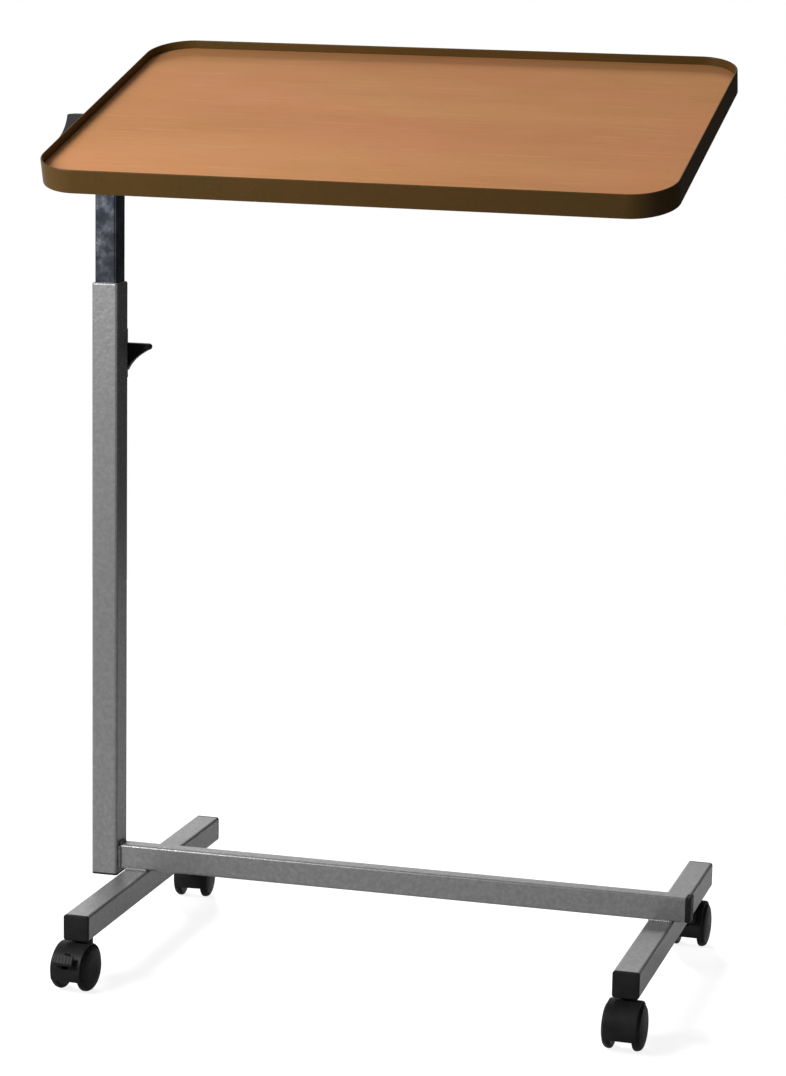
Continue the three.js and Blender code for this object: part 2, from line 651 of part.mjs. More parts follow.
function bracketScrew() {
  const seat = BOARD_UNDERSIDE - 2 * GAP - BRACKET.thickness;
  const low = seat + GAP - SCREW.headHeight;
  const tip = BOARD_UNDERSIDE + SCREW.bite;
  return turned('z', [
    [0, low], [SCREW.headRadius - 1.4, low], [SCREW.headRadius, low + 1.4], [SCREW.headRadius, seat],
    [SCREW.radius, seat], [SCREW.radius, tip - 2], [0, tip],
  ], 12);
}

// The board is drawn under its own centre, with z = 0 at the edging's rim.
function board() {
  const inset = EDGING_WALL + GAP;
  const width = TOP_WIDTH - 2 * inset;
  const depth = TOP_DEPTH - 2 * inset;
  const middle = -LIP_HEIGHT - BOARD_THICKNESS / 2;
  const halfGroove = TONGUE_THICKNESS / 2 + GAP;
  const reach = TONGUE_DEPTH + GAP;
  const slab = prism(width, depth, TOP_CORNER - inset, -EDGING_HEIGHT, -LIP_HEIGHT, 6);
  const ring = prism(width + 2, depth + 2, TOP_CORNER - inset + 1, middle - halfGroove, middle + halfGroove, 6);
  const coreCorner = TOP_CORNER - inset - reach;
  const core = prism(width - 2 * reach, depth - 2 * reach, coreCorner, middle - 3, middle + 3, 6);
  return slab.subtract(ring.subtract(core));
}

// A moulded edging: a wall that stands above the board, and a tongue pressed into the board's groove.
function edging() {
  const wall = EDGING_WALL;
  const soft = 0.8;
  const shape = roundedRectangle(TOP_WIDTH - 2 * soft, TOP_DEPTH - 2 * soft, TOP_CORNER - soft);
  const options = {
    depth: EDGING_HEIGHT - 2 * soft, bevelThickness: soft, bevelSize: soft, bevelSegments: 1, curveSegments: 6,
  };
  const outside = new THREE.ExtrudeGeometry(shape, options);
  outside.translate(0, 0, -EDGING_HEIGHT + soft);
  const inner = prism(TOP_WIDTH - 2 * wall, TOP_DEPTH - 2 * wall, TOP_CORNER - wall, -EDGING_HEIGHT - 1, 1, 6);
  const middle = -LIP_HEIGHT - BOARD_THICKNESS / 2;
  const low = middle - TONGUE_THICKNESS / 2;
  const high = middle + TONGUE_THICKNESS / 2;
  const into = wall + TONGUE_DEPTH;
  const tongue = prism(TOP_WIDTH - wall, TOP_DEPTH - wall, TOP_CORNER - wall / 2, low, high, 6);
  const open = prism(TOP_WIDTH - 2 * into, TOP_DEPTH - 2 * into, TOP_CORNER - into, low - 1, high + 1, 6);
  return solid(outside).subtract(inner).add(tongue.subtract(open));
}

function trayTop() {
  const group = new THREE.Group();
  group.rotation.x = TILT * DEGREE;
  const arm = sleeve('x', ARM_RADIUS - ARM_WALL, ARM_RADIUS, ARM_LEFT, ARM_RIGHT);
  const armCap = rod('x', ARM_RADIUS, ARM_RIGHT + GAP, ARM_RIGHT + 2.5);
  const spigot = rod('x', ARM_RADIUS - ARM_WALL - GAP, ARM_RIGHT - 8, ARM_RIGHT + 1);
  group.add(piece('support_arm', arm, CHROME));
  group.add(piece('arm_end_cap', armCap.add(spigot), BLACK_CAP));
  group.add(piece('index_disc', indexDisc(), ZINC));
  let slab = board().translate([TOP_CENTRE_X, TOP_BEHIND_AXIS, RIM_ABOVE_AXIS]);
  ['left', 'right'].forEach((side, index) => {
    const x = BRACKET_X[index];
    group.add(piece(`arm_bracket_${side}`, armBracket(x), ZINC));
    for (const [end, y] of [['front', -SCREW.spread], ['back', SCREW.spread]]) {
      const pilot = rod('z', SCREW.radius + GAP, BOARD_UNDERSIDE - 1, BOARD_UNDERSIDE + SCREW.bite + 0.5, 12);
      slab = slab.subtract(pilot.translate([x, y, 0]));
      group.add(piece(`bracket_screw_${side}_${end}`, bracketScrew().translate([x, y, 0]), ZINC));
    }
  });
  const rim = edging().translate([TOP_CENTRE_X, TOP_BEHIND_AXIS, RIM_ABOVE_AXIS]);
  group.add(piece('table_board', slab, BEECH));
  group.add(piece('board_edging', rim, BRONZE_PLASTIC));
  return group;
}

// ---------------------------------------------------------------- the whole table

const model = new THREE.Group();
model.add(base());
model.add(castors());
model.add(outerMastParts());
model.add(piece('inner_mast', innerMast(), CHROME));
model.add(piece('lower_guide', lowerGuide(), WHITE_NYLON));
model.add(mastHead());

// The origin is the middle of the footprint box, on the floor.
const bounds = new THREE.Box3().setFromObject(model, true);
model.position.x = -(bounds.min.x + bounds.max.x) / 2;
model.position.y = -(bounds.min.y + bounds.max.y) / 2;
model.position.z = -bounds.min.z;

const overbedTable = new THREE.Group();
overbedTable.add(model);

export default overbedTable;
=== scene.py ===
"""Overbed table: the looks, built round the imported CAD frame, with +Z up."""
import json
import math

import bmesh
import bpy
from mathutils import Matrix, Vector


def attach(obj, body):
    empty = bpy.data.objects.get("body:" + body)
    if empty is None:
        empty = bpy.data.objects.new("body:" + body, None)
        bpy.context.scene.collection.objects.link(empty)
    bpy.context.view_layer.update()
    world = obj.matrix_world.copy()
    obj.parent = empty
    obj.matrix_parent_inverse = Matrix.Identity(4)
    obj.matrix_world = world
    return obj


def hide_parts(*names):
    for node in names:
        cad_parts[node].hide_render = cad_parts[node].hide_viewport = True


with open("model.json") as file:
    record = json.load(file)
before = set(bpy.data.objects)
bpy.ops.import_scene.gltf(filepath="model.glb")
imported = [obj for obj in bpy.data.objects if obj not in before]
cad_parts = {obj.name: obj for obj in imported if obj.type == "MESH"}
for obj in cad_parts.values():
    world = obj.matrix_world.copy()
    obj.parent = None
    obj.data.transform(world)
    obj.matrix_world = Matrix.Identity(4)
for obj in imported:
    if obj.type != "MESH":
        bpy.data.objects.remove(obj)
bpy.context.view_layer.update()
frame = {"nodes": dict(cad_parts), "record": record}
JOINTS = {joint["name"]: joint for joint in frame["record"]["behaviour"]["joints"]}

# ------------------------------------------------------------------ dimensions in millimetres, as in the CAD

MM = 0.001  # scenes are in metres
GAP = 0.3  # between pieces that touch
THROUGH = 30  # reach of a tool that cuts right through

TOP_WIDTH = 600
TOP_DEPTH = 370
TOP_CORNER = 42
EDGING_HEIGHT = 23
LIP_HEIGHT = 8
EDGING_WALL = 1.8
TONGUE_DEPTH = 6
TONGUE_THICKNESS = 2
BOARD_THICKNESS = EDGING_HEIGHT - LIP_HEIGHT
TILT = math.radians(18)
RIM_ABOVE_AXIS = 44
TOP_BEHIND_AXIS = 12.8
TOP_CENTRE_X = 286.5
BOARD_UNDERSIDE = RIM_ABOVE_AXIS - EDGING_HEIGHT

MAST_WIDTH = 27
MAST_DEPTH = 30
MAST_WALL = 1.2
MAST_CORNER = 3
MAST_BOTTOM = 68.2
MAST_TOP = 664
FOOT_FLANGE = 1.4
MAST_LIP = 2.0
INNER_WIDTH = 22.4
INNER_DEPTH = 25.4
INNER_WALL = 1.5
INNER_CORNER = 2.6
INNER_BOTTOM = 335
INNER_TOP = 774
PLUG_REACH = 14  # of the foot plug, up inside the mast
SHOE_HALF = (7, 11)  # the brake shoe, across and up, in a window a gap larger all round

LEG_SIZE = 25.4
LEG_UNDERSIDE = 48.6
LEG_TOP = LEG_UNDERSIDE + LEG_SIZE
LEG_FRONT = -173.2
LEG_BACK = 210.7
LEG_X = {"left": 32, "right": 566.5}
TUBE_WALL = 1.5
TUBE_CORNER = 2.8
RAIL_BOTTOM = LEG_TOP + GAP
RAIL_HEIGHT = 25
RAIL_DEPTH = 17.5
RAIL_END = 595.5
LEG_CAP = 3
RAIL_CAP = 5
SPIGOT = 8  # of a cap, inside its tube

WHEEL_RADIUS = 22
WHEEL_INNER = 10
WHEEL_OUTER = 18.4
WHEEL_FACE = 19.9
TREAD_INNER = 2.5
TREAD_OUTER = 5
HUB_CAP = 0.8
AXLE_RADIUS = 3
CASTOR_TRAIL = 21
STEM_RADIUS = 4
STEM_REACH = 18  # up inside the leg
HOOD_RADIUS = 24.2
HOOD_WALL = 1.5
HOOD_WIDTH = 31
HOOD_FROM = -18
HOOD_TO = 200
WEB_WIDTH = 18.4
BOSS_RADIUS = 6.5
NECK_WIDTH = 11
COLLAR_RADIUS = 6.5
COLLAR_HEIGHT = 1
PEDAL_SHANK = 5.4
PEDAL_TREAD = 20
PEDAL_SLOT_Y = (-30, -9)  # from the axle
PEDAL_SLOT_Z = (4, 17.6)
BRAKED = ("front_left", "back_right")

ARM_RADIUS = 10
ARM_WALL = 2
ARM_LEFT = -22.5
ARM_RIGHT = 486
BARREL_HALF = 15
BUSH_RADIUS = 12
DISC_RADIUS = 19
DISC_THICKNESS = 4.6
NOTCH_DEPTH = 1.7
NOTCH_HALF_MOUTH = 1.3
NOTCH_HALF_FLOOR = 0.7
NOTCH_PITCH = 9
NOTCH_COUNT = 6
BRACKET_X = {"left": 92, "right": 446}
BRACKET_HALF_WIDTH = 24
BRACKET_HALF_DEPTH = 56
BRACKET_THICKNESS = 3
SCREW_SPREAD = 42
SCREW_HOLE = 2.4
SCREW_HEAD = 4.4
SCREW_SHANK = 2
LEVER_PIN = (-34, -21)
PIN_HOLE = 2.3  # radius, for the lever's pin and for the brake shoe's stem

TRIGGER_HEIGHT = 590
TRIGGER_FRONT = 20.5
TRIGGER_THICKNESS = 8

PLACES = ("front_left", "front_right", "back_left", "back_right")

# ------------------------------------------------------------------ the view and the lights

LENS = 102.63  # millimetres, on a sensor 36 wide
CAMERA_FROM_MAST = (1.0763, -2.8082, 0.9414)  # metres
CAMERA_YAW = 0.2725  # radians, as are the next two
CAMERA_PITCH = 0.1742
CAMERA_ROLL = 0.0173

FLOOR_X = (-2500, 1300)
FLOOR_Y = (-800, 1800)

KEY_SPOT = (-1.0, -1.15, 1.15)  # metres
KEY_TARGET = (-0.1, 0, 0.5)
KEY_SIZE = 0.6
KEY_POWER = 25  # watts
SUN_TOWARDS = (0.33, -0.78, -0.52)
SUN_STRENGTH = 4.6
SUN_SPREAD = 12  # degrees
FILL_TOWARDS = (0.77, -0.6, 0.2)

# ------------------------------------------------------------------ frames


def axes_matrix(origin, x_axis):
    """A frame at origin with its X along x_axis and its Y level."""
    x = Vector(x_axis).normalized()
    y = Vector((0, 0, 1)).cross(x).normalized()
    z = x.cross(y)
    turn = Matrix((x, y, z)).transposed().to_4x4()
    return Matrix.Translation(origin) @ turn


TILT_AXIS = Vector(JOINTS["tray_tilt"]["pos_m"])
MAST_FRAME = Matrix.Translation((TILT_AXIS.x, TILT_AXIS.y, 0))
HEAD_FRAME = axes_matrix(TILT_AXIS, JOINTS["tray_tilt"]["axis"])
TRAY_FRAME = HEAD_FRAME @ Matrix.Rotation(TILT, 4, "X")
TOP_FRAME = TRAY_FRAME @ Matrix.Translation(Vector((TOP_CENTRE_X, TOP_BEHIND_AXIS, RIM_ABOVE_AXIS)) * MM)


def castor_frame(place):
    """A castor's own frame: the middle of its axle, with X along the axle."""
    wheel = JOINTS["wheel_spin_left_" + place]
    return axes_matrix(wheel["pos_m"], wheel["axis"])


# ------------------------------------------------------------------ materials


def add_node(tree, kind, values=None, **settings):
    """Adds a shader node. A value that is another node's output becomes a link."""
    node = tree.nodes.new("ShaderNode" + kind)
    for key, value in settings.items():
        setattr(node, key, value)
    for key, value in (values or {}).items():
        if isinstance(value, bpy.types.NodeSocket):
            tree.links.new(value, node.inputs[key])
        else:
            node.inputs[key].default_value = value
    return node


class Nodes:
    """A material's node tree, with one Principled shader."""

    def __init__(self, name, base, roughness, metallic=0.0):
        self.material = bpy.data.materials.new(name)
        self.material.use_nodes = True
        self.tree = self.material.node_tree
        self.shader = self.tree.nodes["Principled BSDF"]
        self.shader.inputs["Base Color"].default_value = (*base, 1)
        self.shader.inputs["Roughness"].default_value = roughness
        self.shader.inputs["Metallic"].default_value = metallic
        self.coordinates = self.tree.nodes.new("ShaderNodeTexCoord").outputs["Object"]

    def add(self, kind, values=None, **settings):
        return add_node(self.tree, kind, values, **settings)

    def scaled(self, x, y, z):
        return self.add("Mapping", {"Vector": self.coordinates, "Scale": (x, y, z)}).outputs["Vector"]

    def noise(self, scale, detail=3.0, roughness=0.55, vector=None):
        values = {"Vector": vector or self.coordinates, "Scale": scale}
        values.update({"Detail": detail, "Roughness": roughness})
        return self.add("TexNoise", values).outputs["Fac"]

    def cells(self, scale, smoothness=0.6, vector=None):
        values = {"Vector": vector or self.coordinates, "Scale": scale, "Smoothness": smoothness}
        return self.add("TexVoronoi", values, feature="SMOOTH_F1").outputs["Distance"]

    def span(self, value, low, high, to_low=0.0, to_high=1.0):
        values = {"Value": value, "From Min": low, "From Max": high, "To Min": to_low, "To Max": to_high}
        return self.add("MapRange", values).outputs["Result"]

    def maths(self, operation, first, second=0.0):
        return self.add("Math", {0: first, 1: second}, operation=operation).outputs["Value"]

    def blend(self, factor, first, second):
        """A colour between two others. Inputs 0, 6 and 7 are the factor and the two colours."""
        node = self.add("Mix", data_type="RGBA")
        for socket, value in zip((node.inputs[0], node.inputs[6], node.inputs[7]), (factor, first, second)):
            if isinstance(value, bpy.types.NodeSocket):
                self.tree.links.new(value, socket)
            elif isinstance(value, tuple):
                socket.default_value = (*value, 1)
            else:
                socket.default_value = value
        return node.outputs[2]

    def colour(self, socket):
        self.tree.links.new(socket, self.shader.inputs["Base Color"])

    def rough(self, socket):
        self.tree.links.new(socket, self.shader.inputs["Roughness"])

    def bump(self, height, strength, distance):
        values = {"Height": height, "Strength": strength, "Distance": distance}
        previous = self.shader.inputs["Normal"].links
        if previous:
            values["Normal"] = previous[0].from_socket
        node = self.add("Bump", values)
        self.tree.links.new(node.outputs["Normal"], self.shader.inputs["Normal"])

    def set(self, **values):
        for key, value in values.items():
            self.shader.inputs[key.replace("_", " ")].default_value = value


def hammered_paint():
    """Grey hammer-finish enamel: dimpled cells about three millimetres across, over a metallic flake."""
    n = Nodes("hammered_grey_paint", (0.3, 0.3, 0.305), 0.35, 0.4)
    drift = n.add("TexNoise", {"Vector": n.coordinates, "Scale": 300.0}).outputs["Color"]
    drift = n.add("VectorMath", {0: drift, "Scale": 0.003}, operation="SCALE").outputs["Vector"]
    wobble = n.add("VectorMath", {0: n.coordinates, 1: drift}, operation="ADD").outputs["Vector"]
    cell = n.cells(300.0, 0.6, wobble)
    flake = n.noise(1500.0, 2.0)
    patch = n.noise(11.0, 3.0)
    shade = n.blend(n.span(cell, 0.1, 0.6), (0.33, 0.33, 0.335), (0.26, 0.26, 0.265))
    shade = n.blend(n.span(flake, 0.35, 0.7, 0.0, 0.3), shade, (0.36, 0.36, 0.365))
    grain = n.noise(210.0, 2.0)
    shade = n.blend(n.span(grain, 0.5, 0.7, 0.0, 0.25), shade, (0.42, 0.42, 0.425))
    shade = n.blend(n.span(grain, 0.5, 0.32, 0.0, 0.25), shade, (0.18, 0.18, 0.183))
    shade = n.blend(n.span(patch, 0.35, 0.7, 0.0, 0.14), shade, (0.25, 0.25, 0.255))
    n.colour(shade)
    n.rough(n.span(cell, 0.1, 0.6, 0.26, 0.36))
    n.bump(cell, 0.16, 0.0005)
    n.bump(grain, 0.1, 0.0005)
    n.bump(patch, 0.1, 0.002)
    return n.material


def clouded_chrome():
    """Chromed steel with the grey clouding and fine rubbing that a sliding mast gets."""
    n = Nodes("clouded_chrome", (0.5, 0.52, 0.56), 0.2, 1.0)
    cloud = n.noise(75.0, 4.0, 0.6)
    rub = n.noise(28.0, 3.0, 0.6, n.scaled(14.0, 14.0, 0.6))
    shade = n.blend(n.span(cloud, 0.42, 0.68), (0.14, 0.155, 0.195), (0.29, 0.305, 0.35))
    shade = n.blend(n.span(rub, 0.4, 0.75, 0.0, 0.4), shade, (0.11, 0.12, 0.15))
    n.colour(shade)
    n.rough(n.span(cloud, 0.35, 0.7, 0.12, 0.24))
    n.bump(rub, 0.12, 0.0004)
    return n.material


def zinc_plate():
    n = Nodes("zinc_plate", (0.55, 0.56, 0.57), 0.36, 1.0)
    bloom = n.noise(140.0, 4.0)
    grain = n.noise(60.0, 2.0, 0.5, n.scaled(1.0, 20.0, 1.0))
    n.colour(n.blend(n.span(bloom, 0.35, 0.7), (0.6, 0.61, 0.62), (0.42, 0.43, 0.44)))
    n.rough(n.span(bloom, 0.3, 0.75, 0.28, 0.48))
    n.bump(grain, 0.1, 0.0003)
    return n.material


def black_moulding(name, shade, roughness, texture=1400.0):
    """A black moulded plastic with spark-eroded texture and a slight bloom."""
    n = Nodes(name, (shade, shade, shade * 1.06), roughness)
    bloom = n.noise(55.0, 4.0)
    dull = (shade * 1.7, shade * 1.7, shade * 1.75)
    n.colour(n.blend(n.span(bloom, 0.35, 0.75), (shade, shade, shade * 1.05), dull))
    n.rough(n.span(bloom, 0.3, 0.75, roughness - 0.06, roughness + 0.1))
    n.bump(n.noise(texture, 2.0), 0.22, 0.00012)
    n.set(Specular_IOR_Level=0.12)
    return n.material


def wheel_plastic():
    """Hard black wheels, dusty where they meet the floor. The piece's own X is the axle."""
    n = Nodes("wheel_nylon", (0.02, 0.02, 0.021), 0.42)
    axes = n.add("SeparateXYZ", {"Vector": n.coordinates}).outputs
    squares = [n.maths("MULTIPLY", axes[key], axes[key]) for key in ("Y", "Z")]
    radius = n.maths("SQRT", n.maths("ADD", *squares))
    dust = n.noise(260.0, 4.0)
    tread = n.span(radius, 0.0195, 0.0219)
    amount = n.maths("MULTIPLY", tread, n.span(dust, 0.4, 0.75, 0.0, 0.8))
    bloom = n.blend(n.span(n.noise(60.0), 0.35, 0.75), (0.009, 0.009, 0.0095), (0.016, 0.016, 0.017))
    n.colour(n.blend(amount, bloom, (0.05, 0.048, 0.045)))
    n.rough(n.maths("ADD", n.span(dust, 0.3, 0.8, 0.34, 0.46), n.maths("MULTIPLY", amount, 0.25)))
    n.bump(dust, 0.2, 0.0002)
    n.set(Specular_IOR_Level=0.12)
    return n.material


def white_moulding():
    n = Nodes("white_nylon", (0.66, 0.64, 0.58), 0.45)
    bloom = n.noise(120.0, 3.0)
    n.colour(n.blend(n.span(bloom, 0.35, 0.7), (0.7, 0.68, 0.62), (0.55, 0.52, 0.46)))
    n.bump(n.noise(900.0), 0.15, 0.0001)
    n.set(Subsurface_Weight=0.08)
    return n.material


def beech_laminate():
    """Melamine printed as beech. The piece's own X runs with the grain."""
    n = Nodes("beech_laminate", (0.5, 0.23, 0.1), 0.4)
    bands = n.noise(1.0, 3.0, 0.55, n.scaled(1.6, 13.0, 13.0))
    warm = n.noise(1.0, 2.0, 0.5, n.scaled(5.0, 9.0, 9.0))
    shade = n.blend(n.span(bands, 0.36, 0.66), (0.508, 0.235, 0.088), (0.436, 0.192, 0.068))
    shade = n.blend(n.span(warm, 0.38, 0.66, 0.0, 0.6), shade, (0.515, 0.208, 0.094))
    streak = n.noise(1.0, 2.0, 0.5, n.scaled(13.0, 210.0, 210.0))
    shade = n.blend(n.span(streak, 0.6, 0.74, 0.0, 0.34), shade, (0.38, 0.15, 0.053))
    elsewhere = n.add("Mapping", {"Vector": n.scaled(11.0, 240.0, 240.0), "Location": (7, 3, 1)})
    pale = n.noise(1.0, 2.0, 0.5, elsewhere.outputs[0])
    shade = n.blend(n.span(pale, 0.6, 0.74, 0.0, 0.42), shade, (0.62, 0.31, 0.128))
    fleck = n.noise(1.0, 1.0, 0.5, n.scaled(130.0, 1500.0, 1500.0))
    shade = n.blend(n.span(fleck, 0.62, 0.72, 0.0, 0.4), shade, (0.34, 0.135, 0.05))
    n.colour(shade)
    n.rough(n.span(n.noise(18.0, 3.0), 0.3, 0.7, 0.44, 0.54))
    n.bump(fleck, 0.12, 0.00012)
    n.bump(n.noise(700.0, 2.0), 0.12, 0.00012)
    n.set(Specular_IOR_Level=0.15)
    return n.material


def bronze_edging():
    n = Nodes("bronze_edging", (0.1, 0.052, 0.013), 0.42)
    cloud = n.noise(9.0, 4.0)
    fine = n.noise(500.0, 3.0)
    shade = n.blend(n.span(cloud, 0.35, 0.7), (0.102, 0.05, 0.0115), (0.082, 0.046, 0.011))
    shade = n.blend(n.span(fine, 0.4, 0.7, 0.0, 0.2), shade, (0.135, 0.075, 0.02))
    n.colour(shade)
    n.rough(n.span(fine, 0.3, 0.7, 0.3, 0.4))
    n.bump(n.noise(160.0, 2.0, 0.5, n.scaled(0.4, 0.4, 1.0)), 0.08, 0.0005)
    n.set(Specular_IOR_Level=0.16)
    return n.material


MATERIALS = {
    "hammered_grey": hammered_paint(),
    "chrome": clouded_chrome(),
    "zinc": zinc_plate(),
    "black_nylon": black_moulding("black_nylon", 0.0135, 0.42),
    "black_cap": black_moulding("black_cap", 0.0145, 0.5, 900.0),
    "wheel_nylon": wheel_plastic(),
    "white_nylon": white_moulding(),
    "beech_laminate": beech_laminate(),
    "bronze_edging": bronze_edging(),
}
SLOTS = {part["node"]: part["material_slot"] for part in frame["record"]["subparts"]}
BODIES = {node: body for body, nodes in frame["record"]["behaviour"]["bodies"].items() for node in nodes}

# ------------------------------------------------------------------ mesh making


def arc(centre, radius, start, end, steps):
    """Points on a circle, from start to end degrees."""
    angles = [math.radians(start + (end - start) * i / steps) for i in range(steps + 1)]
    return [(centre[0] + radius * math.cos(a), centre[1] + radius * math.sin(a)) for a in angles]


def rounded_loop(width, depth, radius, steps=6):
    x = width / 2 - radius
    y = depth / 2 - radius
    loop = []
    for centre, start in (((x, -y), -90), ((x, y), 0), ((-x, y), 90), ((-x, -y), 180)):
        loop += arc(centre, radius, start, start + 90, steps)
    return loop


def mesh_object(name, vertices, faces, matrix):
    mesh = bpy.data.meshes.new(name)
    mesh.from_pydata([tuple(c * MM for c in v) for v in vertices], [], faces)
    mesh.validate()
    obj = bpy.data.objects.new(name, mesh)
    bpy.context.scene.collection.objects.link(obj)
    obj.matrix_world = matrix
    return obj


def loft(name, rings, matrix, hollow=False):
    """Skins rings of equal length. Hollow joins the last ring to the first, or else both ends are capped."""
    size = len(rings[0])
    vertices = [point for ring in rings for point in ring]
    faces = []
    count = len(rings)
    for i in range(count if hollow else count - 1):
        a = i * size
        b = ((i + 1) % count) * size
        for j in range(size):
            k = (j + 1) % size
            faces.append((a + j, a + k, b + k, b + j))
    if not hollow:
        faces.append(tuple(reversed(range(size))))
        faces.append(tuple((count - 1) * size + j for j in range(size)))
    return mesh_object(name, vertices, faces, matrix)


def loop_rings(width, depth, radius, profile, steps=6):
    """One ring of a rounded rectangle for each (inset, height) of a profile."""
    rings = []
    for inset, height in profile:
        loop = rounded_loop(width - 2 * inset, depth - 2 * inset, max(radius - inset, 0.25), steps)
        rings.append([(x, y, height) for x, y in loop])
    return rings


def tube_profile(z0, z1, wall, edge=0.35):
    """(inset, height) round the cut wall of a tube, with its edges broken."""
    outside = [(edge, z0), (0.3 * edge, z0 + 0.3 * edge), (0, z0 + edge)]
    outside += [(0, z1 - edge), (0.3 * edge, z1 - 0.3 * edge), (edge, z1)]
    inside = [(wall - edge, z1), (wall, z1 - edge), (wall, z0 + edge), (wall - edge, z0)]
    return outside + inside


def turned(name, profile, matrix, steps=48, hollow=True):
    """Turns (radius, distance) pairs about X. Hollow closes the profile on itself."""
    rings = []
    for radius, along in profile:
        circle = arc((0, 0), max(radius, 0.01), 0, 360 - 360 / steps, steps - 1)
        rings.append([(along, y, z) for y, z in circle])
    return loft(name, rings, matrix, hollow)


UPRIGHT = Matrix.Rotation(math.radians(-90), 4, "Y")  # turns X up to +Z
LENGTHWAYS = Matrix.Rotation(math.radians(90), 4, "Z")  # turns X to +Y


def plate(name, outline, low, high, matrix, plane="XZ", bevel=0.8, segments=3):
    """A flat outline given a thickness and soft edges. XZ outlines are thick along Y, YZ ones along X."""
    size = len(outline)
    if plane == "XZ":
        vertices = [(a, low, b) for a, b in outline] + [(a, high, b) for a, b in outline]
    else:
        vertices = [(low, a, b) for a, b in outline] + [(high, a, b) for a, b in outline]
    faces = [tuple(range(size)), tuple(reversed(range(size, 2 * size)))]
    for j in range(size):
        k = (j + 1) % size
        faces.append((j, size + j, size + k, k))
    obj = mesh_object(name, vertices, faces, matrix)
    straighten(obj)
    if bevel:
        soften(obj, bevel, segments)
    return obj


def block(name, x, y, z, matrix):
    corners = [(a, b) for a, b in ((x[0], z[0]), (x[1], z[0]), (x[1], z[1]), (x[0], z[1]))]
    return plate(name, corners, y[0], y[1], matrix, bevel=0)


def straighten(obj):
    """Makes every face look outwards."""
    work = bmesh.new()
    work.from_mesh(obj.data)
    bmesh.ops.recalc_face_normals(work, faces=work.faces)
    work.to_mesh(obj.data)
    work.free()


def soften(obj, width, segments=3, angle=35):
    modifier = obj.modifiers.new("soft edges", "BEVEL")
    modifier.width = width * MM
    modifier.segments = segments
    modifier.limit_method = "ANGLE"
    modifier.angle_limit = math.radians(angle)
    modifier.use_clamp_overlap = True
    bake_modifiers(obj)


def bake_modifiers(obj):
    bpy.context.view_layer.update()
    evaluated = obj.evaluated_get(bpy.context.evaluated_depsgraph_get())
    mesh = bpy.data.meshes.new_from_object(evaluated)
    obj.modifiers.clear()
    old = obj.data
    obj.data = mesh
    mesh.name = obj.name
    bpy.data.meshes.remove(old)


def combine(obj, other, operation):
    """Adds, or cuts, another solid, which is used up."""
    modifier = obj.modifiers.new(operation, "BOOLEAN")
    modifier.operation = operation
    modifier.object = other
    modifier.solver = "EXACT"
    bake_modifiers(obj)
    bpy.data.objects.remove(other)
    return obj


def rod(radius, low, high, matrix, steps):
    """A plain cylinder about X, to cut a hole with."""
    obj = turned("rod", [(0, low), (radius, low), (radius, high), (0, high)], matrix, steps, hollow=False)
    straighten(obj)
    return obj


def dress(obj, node, smooth=35, normals=True):
    """Gives a piece its finish and shading, and puts it in place of a CAD node."""
    straighten(obj)
    obj.data.shade_smooth()
    obj.data.set_sharp_from_angle(angle=math.radians(smooth))
    if normals:
        modifier = obj.modifiers.new("weighted normals", "WEIGHTED_NORMAL")
        modifier.keep_sharp = True
        modifier.weight = 80
    obj.data.materials.clear()
    obj.data.materials.append(MATERIALS[SLOTS[node]])
    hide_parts(node)
    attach(obj, BODIES[node])


# ------------------------------------------------------------------ base


def legs():
    for side, x in LEG_X.items():
        start = LEG_FRONT + LEG_CAP + GAP
        end = LEG_BACK - LEG_CAP - GAP
        place = MAST_FRAME @ Matrix.Translation(Vector((x, 0, LEG_UNDERSIDE + LEG_SIZE / 2)) * MM)
        along = place @ Matrix.Rotation(math.radians(-90), 4, "X")
        rings = loop_rings(LEG_SIZE, LEG_SIZE, TUBE_CORNER, tube_profile(start, end, TUBE_WALL))
        dress(loft(f"leg_tube_{side}", rings, along, hollow=True), f"leg_{side}")
        for end_name, y, turn in (("front", LEG_FRONT, -90), ("back", LEG_BACK, 90)):
            spot = place @ Matrix.Translation((0, y * MM, 0)) @ Matrix.Rotation(math.radians(turn), 4, "X")
            cap = end_cap(f"tube_cap_{end_name}_{side}", LEG_SIZE, LEG_SIZE, LEG_CAP, spot)
            dress(cap, f"leg_cap_{end_name}_{side}")


def end_cap(name, width, depth, top, matrix):
    """A push-in cap: a pillowed face at 0, a head that ends at top, and a spigot inside the tube."""
    room = TUBE_WALL + GAP
    profile = [(4, 0), (1.4, 0.05), (0.6, 0.25), (0.15, 0.7), (0, 1.2), (0, top - 0.2), (0.2, top)]
    profile += [(room, top), (room, top + SPIGOT), (room + 1, top + SPIGOT + 1)]
    return loft(name, loop_rings(width, depth, TUBE_CORNER, profile), matrix)


def rail():
    start = MAST_WIDTH / 2 + GAP
    end = RAIL_END - RAIL_CAP - GAP
    place = MAST_FRAME @ Matrix.Translation(Vector((0, 0, RAIL_BOTTOM + RAIL_HEIGHT / 2)) * MM)
    along = place @ Matrix.Rotation(math.radians(90), 4, "Y")
    rings = loop_rings(RAIL_HEIGHT, RAIL_DEPTH, TUBE_CORNER, tube_profile(start, end, TUBE_WALL))
    dress(loft("rail_tube", rings, along, hollow=True), "rail")
    spot = place @ Matrix.Translation((RAIL_END * MM, 0, 0)) @ Matrix.Rotation(math.radians(-90), 4, "Y")
    dress(end_cap("rail_tube_cap", RAIL_HEIGHT, RAIL_DEPTH, RAIL_CAP, spot), "rail_end_cap")


